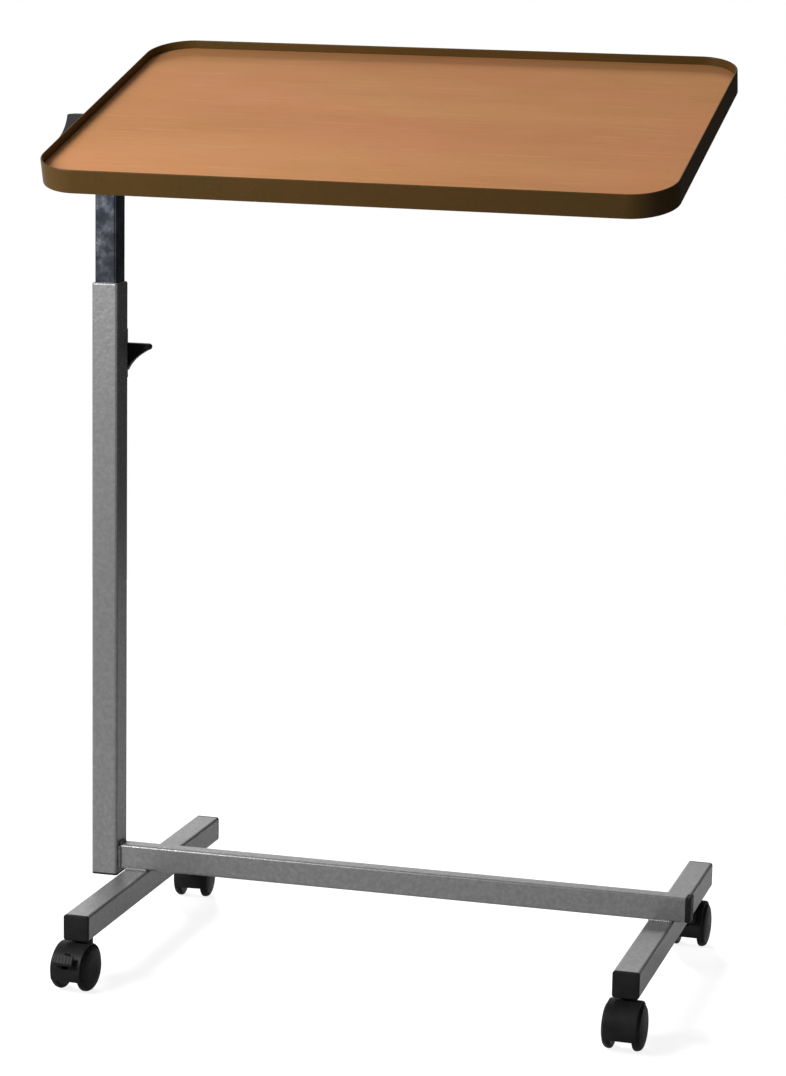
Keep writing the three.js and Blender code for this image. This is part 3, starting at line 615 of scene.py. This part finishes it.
def weld(name, start, end, radius=1.8, pitch=1.7):
    """A rippled bead of weld from start to end, in mast coordinates."""
    start = Vector(start)
    run = Vector(end) - start
    matrix = MAST_FRAME @ Matrix.Translation(start * MM) @ run.to_track_quat("Z", "Y").to_matrix().to_4x4()
    count = max(8, round(run.length / pitch * 8))
    rings = []
    for i in range(count + 1):
        along = run.length * i / count
        edge = min(along, run.length - along) / (1.4 * radius)
        taper = math.sqrt(max(0.06, 1 - (1 - min(edge, 1)) ** 2))
        ripple = 1 + 0.07 * math.cos(2 * math.pi * along / pitch) + 0.05 * math.sin(along * 0.9)
        ring = arc((0, 0), radius * taper * ripple, 0, 345, 23)
        rings.append([(x, y, along) for x, y in ring])
    obj = loft(name, rings, matrix)
    straighten(obj)
    obj.data.shade_smooth()
    obj.data.materials.append(MATERIALS["hammered_grey"])
    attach(obj, "frame")


def welds():
    """Beads that join the rail to the mast and to both legs."""
    joint = MAST_WIDTH / 2 + 0.7
    face = RAIL_DEPTH / 2 + 0.6
    foot = RAIL_BOTTOM + 0.4
    top = RAIL_BOTTOM + RAIL_HEIGHT
    weld("weld_mast_top", (joint, 2 - face, top + 0.4), (joint, face - 2, top + 0.4), 2.2)
    for end, y in (("front", -face), ("back", face)):
        weld(f"weld_mast_{end}", (joint, y, RAIL_BOTTOM + 1), (joint, y, top - 1))
        for side, x in LEG_X.items():
            reach = LEG_SIZE / 2 - 1.2
            weld(f"weld_leg_{side}_{end}", (x - reach, y, foot), (x + reach, y, foot))


# ------------------------------------------------------------------ castors


def wheel_profile():
    """(radius, distance from the castor's middle) round one wheel's section, from the bore over the tread."""
    bore = AXLE_RADIUS + GAP
    inner = arc((WHEEL_RADIUS - TREAD_INNER, WHEEL_INNER + TREAD_INNER), TREAD_INNER, -90, 0, 7)
    outer = arc((WHEEL_RADIUS - TREAD_OUTER, WHEEL_OUTER - TREAD_OUTER), TREAD_OUTER, 0, 90, 7)
    dome = ((16.2, 1.25), (15.2, 0.95), (13, 0.55), (10.5, 0.25), (7.5, 0.08))
    hub = ((5.6, 0.04), (5.4, 0.2), (5.1, 0.2), (4.9, 0.02), (3, 0), (0, 0))
    face = [(radius, WHEEL_FACE - drop) for radius, drop in dome + hub]
    closed_bore = [(0, WHEEL_FACE - HUB_CAP), (bore, WHEEL_FACE - HUB_CAP)]
    return [(bore, WHEEL_INNER)] + inner + outer + face + closed_bore


def fender_sector(place, matrix):
    """The hood's curved cover, with rolled edges."""
    half = HOOD_WIDTH / 2
    outer = HOOD_RADIUS
    inner = HOOD_RADIUS - HOOD_WALL
    section = [(outer - 0.9, half), (outer - 0.35, half - 0.15), (outer, half - 0.8), (outer, 0.8 - half),
               (outer - 0.35, 0.15 - half), (outer - 0.9, -half), (inner, 0.1 - half), (inner, half - 0.1)]
    steps = 72
    rings = []
    for i in range(steps + 1):
        angle = math.radians(HOOD_FROM + (HOOD_TO - HOOD_FROM) * i / steps)
        rings.append([(x, r * math.cos(angle), r * math.sin(angle)) for r, x in section])
    return loft(f"hood_{place}", rings, matrix)


def stem_boss(matrix, top):
    """The upright barrel that the stem turns in."""
    edge = BOSS_RADIUS - 1
    profile = [(0, -6), (edge, -6), (BOSS_RADIUS, -5), (BOSS_RADIUS, top - 1), (BOSS_RADIUS - 0.3, top - 0.3)]
    profile += [(edge, top), (0, top)]
    boss = turned("boss", profile, matrix, 36, hollow=False)
    straighten(boss)
    return boss


def neck(matrix, top):
    """The block that joins the barrel to the hood, cut clear of the wheels."""
    outline = [(2, 8), (25.5, 8), (27, 10), (27, top - 1.2), (25.8, top), (3.5, top), (2, top - 0.8)]
    solid = plate("neck", outline, -NECK_WIDTH / 2, NECK_WIDTH / 2, matrix, "YZ", 0.8, 3)
    return combine(solid, rod(HOOD_RADIUS - HOOD_WALL, -THROUGH, THROUGH, matrix, 72), "DIFFERENCE")


def hood(place):
    """The hood: its curved cover, the web inside it, the barrel and the neck, in one moulding."""
    matrix = castor_frame(place)
    stem_line = matrix @ Matrix.Translation((0, CASTOR_TRAIL * MM, 0)) @ UPRIGHT
    top = LEG_UNDERSIDE - COLLAR_HEIGHT - 2 * GAP - WHEEL_RADIUS
    cover = fender_sector(place, matrix)
    straighten(cover)
    outline = [(-8, -12), (8, -12)] + arc((0, 0), HOOD_RADIUS - 0.7, HOOD_FROM + 3, HOOD_TO - 3, 60)
    web = plate("web", outline, -WEB_WIDTH / 2, WEB_WIDTH / 2, matrix, "YZ", 0.6, 2)
    cover = combine(cover, web, "UNION")
    cover = combine(cover, stem_boss(stem_line, top), "UNION")
    cover = combine(cover, neck(matrix, top), "UNION")
    cover = combine(cover, rod(STEM_RADIUS + GAP, -2, 40, stem_line, 36), "DIFFERENCE")
    cover = combine(cover, rod(AXLE_RADIUS + GAP, -THROUGH, THROUGH, matrix, 32), "DIFFERENCE")
    if place in BRAKED:
        half = PEDAL_SHANK / 2 + GAP
        cover = combine(cover, block("slot", (-half, half), PEDAL_SLOT_Y, PEDAL_SLOT_Z, matrix), "DIFFERENCE")
    dress(cover, f"castor_hood_{place}", 30)


def pedal(place):
    """The brake's shank and its wide ribbed tread."""
    matrix = castor_frame(place)
    shank = [(-11, 6), (-18, 6), (-22, 9), (-28, 10), (-27, 14.5), (-24, 17), (-16, 17), (-11, 14)]
    tread = [(-25.2, 8.6), (-28.8, 8.9), (-29.4, 11), (-25.4, 18.5), (-23.3, 18.2)]
    body = plate(f"pedal_{place}", shank, -PEDAL_SHANK / 2, PEDAL_SHANK / 2, matrix, "YZ", 0.5, 2)
    pad = plate("pad", tread, -PEDAL_TREAD / 2, PEDAL_TREAD / 2, matrix, "YZ", 0.8, 3)
    body = combine(body, pad, "UNION")
    for i in range(5):
        x = (i - 2) * PEDAL_TREAD / 5.6
        groove = [(-30.2, 10.4), (-29, 10.6), (-25.7, 17.2), (-27, 17.6)]
        body = combine(body, plate("groove", groove, x - 0.35, x + 0.35, matrix, "YZ", 0), "DIFFERENCE")
    dress(body, f"brake_pedal_{place}")


def stem(place):
    """The stem, with the collar that the leg rests on. Heights are from the floor."""
    below = Matrix.Translation(Vector((0, CASTOR_TRAIL, -WHEEL_RADIUS)) * MM)
    upright = castor_frame(place) @ below @ UPRIGHT
    top = LEG_UNDERSIDE - GAP
    foot = top - COLLAR_HEIGHT
    tip = LEG_UNDERSIDE + STEM_REACH
    profile = [(0, WHEEL_RADIUS), (STEM_RADIUS - 0.4, WHEEL_RADIUS), (STEM_RADIUS, WHEEL_RADIUS + 0.4)]
    profile += [(STEM_RADIUS, foot), (COLLAR_RADIUS - 0.2, foot), (COLLAR_RADIUS, foot + 0.2)]
    profile += [(COLLAR_RADIUS, top - 0.2), (COLLAR_RADIUS - 0.2, top), (STEM_RADIUS, top)]
    profile += [(STEM_RADIUS, tip - 2), (STEM_RADIUS - 1, tip), (0, tip)]
    dress(turned(f"stem_{place}", profile, upright, 36, hollow=False), f"castor_stem_{place}")


def castor(place):
    matrix = castor_frame(place)
    hood(place)
    for side, turn in (("right", 0), ("left", 180)):
        spin = matrix @ Matrix.Rotation(math.radians(turn), 4, "Z")
        wheel = turned(f"wheel_{side}_{place}", wheel_profile(), spin, 72)
        dress(wheel, f"castor_wheel_{side}_{place}", 28)
    if place in BRAKED:
        pedal(place)
    stem(place)


# ------------------------------------------------------------------ masts


def outer_mast():
    """The painted tube, its top edge rolled in, with the brake shoe's window in its back."""
    foot = MAST_BOTTOM + FOOT_FLANGE + GAP
    lip = arc((MAST_LIP, MAST_TOP - MAST_LIP), MAST_LIP, 180, 90, 5)
    profile = [(0.3, foot), (0, foot + 0.3)] + lip
    profile += [(MAST_LIP, MAST_TOP - MAST_WALL), (MAST_WALL, MAST_TOP - MAST_LIP - 0.4)]
    profile += [(MAST_WALL, foot + 0.2), (MAST_WALL - 0.2, foot)]
    rings = loop_rings(MAST_WIDTH, MAST_DEPTH, MAST_CORNER, profile, 8)
    tube = loft("outer_tube", rings, MAST_FRAME, hollow=True)
    straighten(tube)
    half_x, half_z = (half + GAP for half in SHOE_HALF)
    heights = (TRIGGER_HEIGHT - half_z, TRIGGER_HEIGHT + half_z)
    window = block("window", (-half_x, half_x), (8, MAST_DEPTH / 2 + 2), heights, MAST_FRAME)
    dress(combine(tube, window, "DIFFERENCE"), "outer_mast")


def foot_plug():
    shoulder = MAST_BOTTOM + FOOT_FLANGE
    room = MAST_WALL + GAP
    profile = [(3, MAST_BOTTOM), (0.3, MAST_BOTTOM), (0, MAST_BOTTOM + 0.3), (0, shoulder - 0.15)]
    profile += [(0.15, shoulder), (room, shoulder), (room, MAST_BOTTOM + PLUG_REACH)]
    rings = loop_rings(MAST_WIDTH, MAST_DEPTH, MAST_CORNER, profile)
    dress(loft("foot_plug", rings, MAST_FRAME), "mast_foot_plug")


def inner_mast():
    profile = tube_profile(INNER_BOTTOM, INNER_TOP, INNER_WALL)
    rings = loop_rings(INNER_WIDTH, INNER_DEPTH, INNER_CORNER, profile, 8)
    dress(loft("inner_tube", rings, MAST_FRAME, hollow=True), "inner_mast")


# ------------------------------------------------------------------ levers


def quadratic(start, control, end, steps=10):
    """Points on a quadratic curve, after its start."""
    points = []
    for i in range(1, steps + 1):
        t = i / steps
        near, middle, far = (1 - t) ** 2, 2 * t * (1 - t), t * t
        points.append(tuple(near * a + middle * b + far * c for a, b, c in zip(start, control, end)))
    return points


def height_trigger():
    """A round boss with a flat-topped finger that curves in underneath."""
    outline = arc((0, 0), 10, 100, 250, 20) + [(6, -15.5), (9.5, -15.5)]
    outline += quadratic((9.5, -15.5), (15.2, -3), (30.4, 5.2))
    outline += arc((30.9, 8.8), 3.2, -60, 80, 8) + [(28, 12), (8, 12)]
    matrix = MAST_FRAME @ Matrix.Translation((0, 0, TRIGGER_HEIGHT * MM))
    back = TRIGGER_FRONT + TRIGGER_THICKNESS
    lever = plate("trigger_lever", outline, TRIGGER_FRONT, back, matrix, "XZ", 1.0, 4)
    bore = rod(PIN_HOLE, 10, 40, matrix @ LENGTHWAYS, 24)
    dress(combine(lever, bore, "DIFFERENCE"), "height_trigger")


def tilt_lever():
    """A paddle on the head's pin, cut clear of the head's ears, with a nose for the pawl."""
    px, pz = LEVER_PIN
    paddle = [(px - 4, pz + 4)] + quadratic((px - 4, pz + 4), (-50, -13), (-57, -4), 8)
    paddle += arc((-54.5, -0.5), 3, 225, 126, 6)
    paddle += quadratic((-56.26, 1.93), (-44, 12), (-41.4, 29.4), 12)
    paddle += arc((-39.2, 29.6), 2.4, 180, 90, 5) + [(-25.5, 32), (-28, 14), (-30, -6), (px + 4, pz + 3)]
    lever = plate("tilt_paddle", paddle, -9, 9, HEAD_FRAME, "XZ", 1.2, 4)
    hub = plate("hub", arc((px, pz), 5, 0, 350, 35), -2.8, 6.9, HEAD_FRAME, "XZ", 0)
    lever = combine(lever, hub, "UNION")
    nose = block("nose", (px, -17.6), (-4.5, 6.9), (pz - 3.5, pz - GAP), HEAD_FRAME)
    lever = combine(lever, nose, "UNION")
    for low in (-10.8, 7.2):
        ear = block("ear", (-60, 0), (low, low + 3.6), (-40, -12.8), HEAD_FRAME)
        lever = combine(lever, ear, "DIFFERENCE")
    room = block("room", (px - 6.5, px + 6.5), (-7.3, -2.8), (-40, pz + 6.5), HEAD_FRAME)
    lever = combine(lever, room, "DIFFERENCE")
    pin = HEAD_FRAME @ Matrix.Translation(Vector((px, 0, pz)) * MM) @ LENGTHWAYS
    dress(combine(lever, rod(PIN_HOLE, -20, 20, pin, 24), "DIFFERENCE"), "tilt_lever", 30)


# ------------------------------------------------------------------ tray top


def board():
    """The laminate board, with a groove all round for the edging's tongue."""
    inset = EDGING_WALL + GAP
    width = TOP_WIDTH - 2 * inset
    depth = TOP_DEPTH - 2 * inset
    middle = -LIP_HEIGHT - BOARD_THICKNESS / 2
    half = TONGUE_THICKNESS / 2 + GAP
    reach = TONGUE_DEPTH + GAP
    profile = [(0.2, -EDGING_HEIGHT), (0, -EDGING_HEIGHT + 0.2), (0, middle - half), (reach, middle - half),
               (reach, middle + half), (0, middle + half), (0, -LIP_HEIGHT - 0.15), (0.15, -LIP_HEIGHT)]
    rings = loop_rings(width, depth, TOP_CORNER - inset, profile, 20)
    dress(loft("laminate_board", rings, TOP_FRAME), "table_board")


def edging():
    """The moulded wall with a rounded lip and foot, and its tongue in the board's groove."""
    wall = EDGING_WALL
    soft = wall / 2
    middle = -LIP_HEIGHT - BOARD_THICKNESS / 2
    half = TONGUE_THICKNESS / 2
    into = wall + TONGUE_DEPTH
    foot = [(0.75, -EDGING_HEIGHT), (0.25, -EDGING_HEIGHT + 0.25), (0, -EDGING_HEIGHT + 0.8)]
    lip = arc((soft, -soft), soft, 180, 0, 10)
    tongue = [(wall, middle + half), (into, middle + half), (into, middle - half), (wall, middle - half)]
    profile = foot + lip + tongue + [(wall, -EDGING_HEIGHT + 0.1), (wall - 0.1, -EDGING_HEIGHT)]
    rings = loop_rings(TOP_WIDTH, TOP_DEPTH, TOP_CORNER, profile, 24)
    dress(loft("edging_strip", rings, TOP_FRAME, hollow=True), "board_edging", 40)


def arm():
    """The tube that the top turns with, and the cap in its right end."""
    inside = ARM_RADIUS - ARM_WALL
    tube = [(inside, ARM_LEFT + 0.3), (inside + 0.3, ARM_LEFT)]
    tube += [(ARM_RADIUS - 0.3, ARM_LEFT), (ARM_RADIUS, ARM_LEFT + 0.3)]
    tube += [(ARM_RADIUS, ARM_RIGHT - 0.3), (ARM_RADIUS - 0.3, ARM_RIGHT)]
    tube += [(inside + 0.3, ARM_RIGHT), (inside, ARM_RIGHT - 0.3)]
    dress(turned("arm_tube", tube, TRAY_FRAME, 64), "support_arm")
    end = ARM_RIGHT + 2.5
    spigot = inside - GAP
    shoulder = ARM_RIGHT + GAP
    cap = [(0, ARM_RIGHT - 8), (spigot - 0.6, ARM_RIGHT - 8), (spigot, ARM_RIGHT - 7), (spigot, shoulder)]
    cap += [(ARM_RADIUS - 0.1, shoulder), (ARM_RADIUS, ARM_RIGHT + 0.5), (ARM_RADIUS - 0.3, end - 0.8)]
    cap += [(ARM_RADIUS - 1.5, end - 0.15), (ARM_RADIUS - 3, end), (0, end)]
    dress(turned("arm_plug", cap, TRAY_FRAME, 48, hollow=False), "arm_end_cap")


def index_disc():
    """The notched plate on the arm's left end."""
    floor = DISC_RADIUS - NOTCH_DEPTH
    wide = math.degrees(NOTCH_HALF_MOUTH / DISC_RADIUS)
    narrow = math.degrees(NOTCH_HALF_FLOOR / floor)
    outline = []
    for count in range(NOTCH_COUNT):
        middle = -90 - count * NOTCH_PITCH
        outline += arc((0, 0), DISC_RADIUS, middle + NOTCH_PITCH / 2, middle + wide, 3)
        outline += arc((0, 0), floor, middle + narrow, middle - narrow, 1)
        outline += arc((0, 0), DISC_RADIUS, middle - wide, middle - NOTCH_PITCH / 2 + 0.3, 3)
    last = -90 - (NOTCH_COUNT - 0.5) * NOTCH_PITCH
    outline += arc((0, 0), DISC_RADIUS, last, last - (360 - NOTCH_COUNT * NOTCH_PITCH) + 1, 76)
    disc = plate("notched_disc", outline, ARM_LEFT, ARM_LEFT + DISC_THICKNESS, TRAY_FRAME, "YZ", 0.25, 2)
    hole = rod(ARM_RADIUS + GAP, -THROUGH, -10, TRAY_FRAME, 64)
    dress(combine(disc, hole, "DIFFERENCE"), "index_disc", 30)


def saddle(side, spot, top):
    """A pressed saddle: a flat plate with two cheeks, bored for the arm."""
    low, high = top - BRACKET_THICKNESS, top
    half = BRACKET_HALF_WIDTH
    flat = [(-half, low), (half, low), (half, high), (-half, high)]
    cheek = [(-17, -3), (17, -3), (30, top - 2), (-30, top - 2)]
    solid = plate(f"saddle_{side}", flat, -BRACKET_HALF_DEPTH, BRACKET_HALF_DEPTH, spot, "XZ", 0.6, 2)
    for left in (-half, half - BRACKET_THICKNESS):
        wall = plate("cheek", cheek, left, left + BRACKET_THICKNESS, spot, "YZ", 0.5, 2)
        solid = combine(solid, wall, "UNION")
    return combine(solid, rod(ARM_RADIUS + GAP, -THROUGH, THROUGH, spot, 64), "DIFFERENCE")


def brackets():
    """The two saddles under the board, with cross-head screws."""
    top = BOARD_UNDERSIDE - GAP
    for side, x in BRACKET_X.items():
        spot = TRAY_FRAME @ Matrix.Translation((x * MM, 0, 0))
        solid = saddle(side, spot, top)
        for end, y in (("front", -SCREW_SPREAD), ("back", SCREW_SPREAD)):
            upright = spot @ Matrix.Translation((0, y * MM, 0)) @ UPRIGHT
            solid = combine(solid, rod(SCREW_HOLE, 0, THROUGH, upright, 32), "DIFFERENCE")
            screw(f"screw_{side}_{end}", upright, top - BRACKET_THICKNESS, f"bracket_screw_{side}_{end}")
        dress(solid, f"arm_bracket_{side}", 30)


def screw(name, upright, under, node):
    """A domed screw, up into the board. Its head is under the plate, and has a cross cut in it."""
    seat = under - GAP
    tip = BOARD_UNDERSIDE + 11
    profile = [(0, under - 2.6), (2.4, under - 2.6), (3.4, under - 2.3), (4.1, under - 1.6)]
    profile += [(SCREW_HEAD, under - 0.9), (SCREW_HEAD, seat)]
    profile += [(SCREW_SHANK, seat), (SCREW_SHANK, tip - 2), (0, tip)]
    solid = turned(name, profile, upright, 40, hollow=False)
    straighten(solid)
    for y, z in ((0.45, 2.1), (2.1, 0.45)):
        cross = block("cross", (under - 4, under - 1.3), (-y, y), (-z, z), upright)
        solid = combine(solid, cross, "DIFFERENCE")
    dress(solid, node, 30)


def bushes():
    """The flanged bushes that line the head's barrel."""
    bore = ARM_RADIUS + 0.2
    flange = BARREL_HALF + GAP
    profile = [(bore, 2), (BUSH_RADIUS, 2), (BUSH_RADIUS, flange), (13.8, flange), (14, flange + 0.2)]
    profile += [(14, flange + 1.2), (13.8, flange + 1.4), (bore + 0.3, flange + 1.4), (bore, flange + 1.1)]
    dress(turned("bush_ring_right", profile, HEAD_FRAME, 64), "arm_bush_right")
    other = HEAD_FRAME @ Matrix.Rotation(math.pi, 4, "Z")
    dress(turned("bush_ring_left", profile, other, 64), "arm_bush_left")


# ------------------------------------------------------------------ parts that keep their CAD shape


def recast(node, name, voxel, passes):
    """A moulding or casting: the CAD solid's shape, remeshed and relaxed so that its corners are filleted."""
    source = frame["nodes"][node]
    obj = bpy.data.objects.new(name, source.data.copy())
    bpy.context.scene.collection.objects.link(obj)
    remesh = obj.modifiers.new("remesh", "REMESH")
    remesh.mode = "VOXEL"
    remesh.voxel_size = voxel * MM
    relax = obj.modifiers.new("relax", "SMOOTH")
    relax.factor = 0.5
    relax.iterations = passes
    bake_modifiers(obj)
    dress(obj, node, 60, normals=False)


def carried_over():
    """CAD nodes that stay get the finish of their slot."""
    for node, obj in frame["nodes"].items():
        if obj.hide_render:
            continue
        obj.data.materials.clear()
        obj.data.materials.append(MATERIALS[SLOTS[node]])


# ------------------------------------------------------------------ stage


def stage():
    """A pale paper floor that glows a little, so that its far edge melts into the background."""
    corners = [(FLOOR_X[i], FLOOR_Y[j], 0) for i, j in ((0, 0), (1, 0), (1, 1), (0, 1))]
    floor = mesh_object("floor", corners, [(0, 1, 2, 3)], Matrix.Identity(4))
    paper = Nodes("pale_floor", (0.3, 0.3, 0.3), 0.95)
    paper.set(Specular_IOR_Level=0.0, Emission_Color=(1, 1, 1, 1))
    mirrored = paper.add("LightPath").outputs["Is Glossy Ray"]
    paper.tree.links.new(paper.span(mirrored, 0, 1, 0.86, 0.14), paper.shader.inputs["Emission Strength"])
    floor.data.materials.append(paper.material)
    floor.visible_diffuse = False


def add_light(name, kind, towards):
    """A light that shines along towards. Returns its object and its data."""
    light = bpy.data.lights.new(name, kind)
    obj = bpy.data.objects.new(name, light)
    bpy.context.scene.collection.objects.link(obj)
    obj.rotation_euler = Vector(towards).to_track_quat("-Z", "Y").to_euler()
    return obj, light


def softbox():
    """The key light, at the front left."""
    obj, light = add_light("key", "AREA", Vector(KEY_TARGET) - Vector(KEY_SPOT))
    obj.location = KEY_SPOT
    light.shape = "RECTANGLE"
    light.size = KEY_SIZE
    light.size_y = KEY_SIZE
    light.energy = KEY_POWER


def soft_sun():
    """A broad light from behind, which leaves no glint of its own."""
    obj, light = add_light("back", "SUN", SUN_TOWARDS)
    light.energy = SUN_STRENGTH
    light.angle = math.radians(SUN_SPREAD)
    obj.visible_glossy = False


def surroundings():
    """A world that is white to the camera. Everything else sees a dim room with three brighter patches."""
    world = bpy.data.worlds.new("studio")
    bpy.context.scene.world = world
    world.use_nodes = True
    tree = world.node_tree

    def make(kind, values=None, **settings):
        return add_node(tree, kind, values, **settings).outputs

    def span(value, low, high, to_low, to_high):
        values = {"Value": value, "From Min": low, "From Max": high, "To Min": to_low, "To Max": to_high}
        return make("MapRange", values)["Result"]

    direction = make("TexCoord")["Generated"]
    axes = make("SeparateXYZ", {0: direction})
    side = span(axes["X"], -0.3, 0.08, 1.0, 0.0)
    rear = span(axes["Y"], 0.4, 0.8, 0.24, 0.68)
    left = make("Math", {0: side, 1: rear}, operation="MULTIPLY")["Value"]
    above = span(axes["Z"], 0.7, 0.95, 0.0, 0.25)
    across = make("VectorMath", {0: direction, 1: FILL_TOWARDS}, operation="DOT_PRODUCT")["Value"]
    fill = span(across, 0.78, 0.97, 0.03, 0.33)
    glow = make("Math", {0: left, 1: above})["Value"]
    total = make("Math", {0: glow, 1: fill})["Value"]
    seen = make("LightPath")["Is Camera Ray"]
    strength = make("Mix", {0: seen, 2: total, 3: 1.0})[0]
    tree.links.new(strength, tree.nodes["Background"].inputs["Strength"])
    tree.nodes["Background"].inputs["Color"].default_value = (1, 1, 1, 1)


def camera():
    data = bpy.data.cameras.new("camera")
    data.sensor_width = 36
    data.lens = LENS
    data.clip_end = 60
    obj = bpy.data.objects.new("camera", data)
    bpy.context.scene.collection.objects.link(obj)
    ahead = math.cos(CAMERA_PITCH)
    forward = Vector((-math.sin(CAMERA_YAW) * ahead, math.cos(CAMERA_YAW) * ahead, -math.sin(CAMERA_PITCH)))
    level = Vector((math.cos(CAMERA_YAW), math.sin(CAMERA_YAW), 0))
    above = level.cross(forward)
    right = level * math.cos(CAMERA_ROLL) + above * math.sin(CAMERA_ROLL)
    up = above * math.cos(CAMERA_ROLL) - level * math.sin(CAMERA_ROLL)
    turn = Matrix((right, up, -forward)).transposed().to_4x4()
    spot = Vector(CAMERA_FROM_MAST) + Vector((TILT_AXIS.x, TILT_AXIS.y, 0))
    obj.matrix_world = Matrix.Translation(spot) @ turn
    bpy.context.scene.camera = obj
    bpy.context.scene.view_settings.view_transform = "Standard"


# ------------------------------------------------------------------ everything together

camera()
softbox()
soft_sun()
surroundings()
stage()
legs()
rail()
welds()
for place in PLACES:
    castor(place)
outer_mast()
foot_plug()
inner_mast()
height_trigger()
tilt_lever()
board()
edging()
arm()
index_disc()
brackets()
bushes()
recast("head", "head_casting", 0.6, 6)
recast("trigger_housing", "trigger_cover", 0.6, 4)
carried_over()
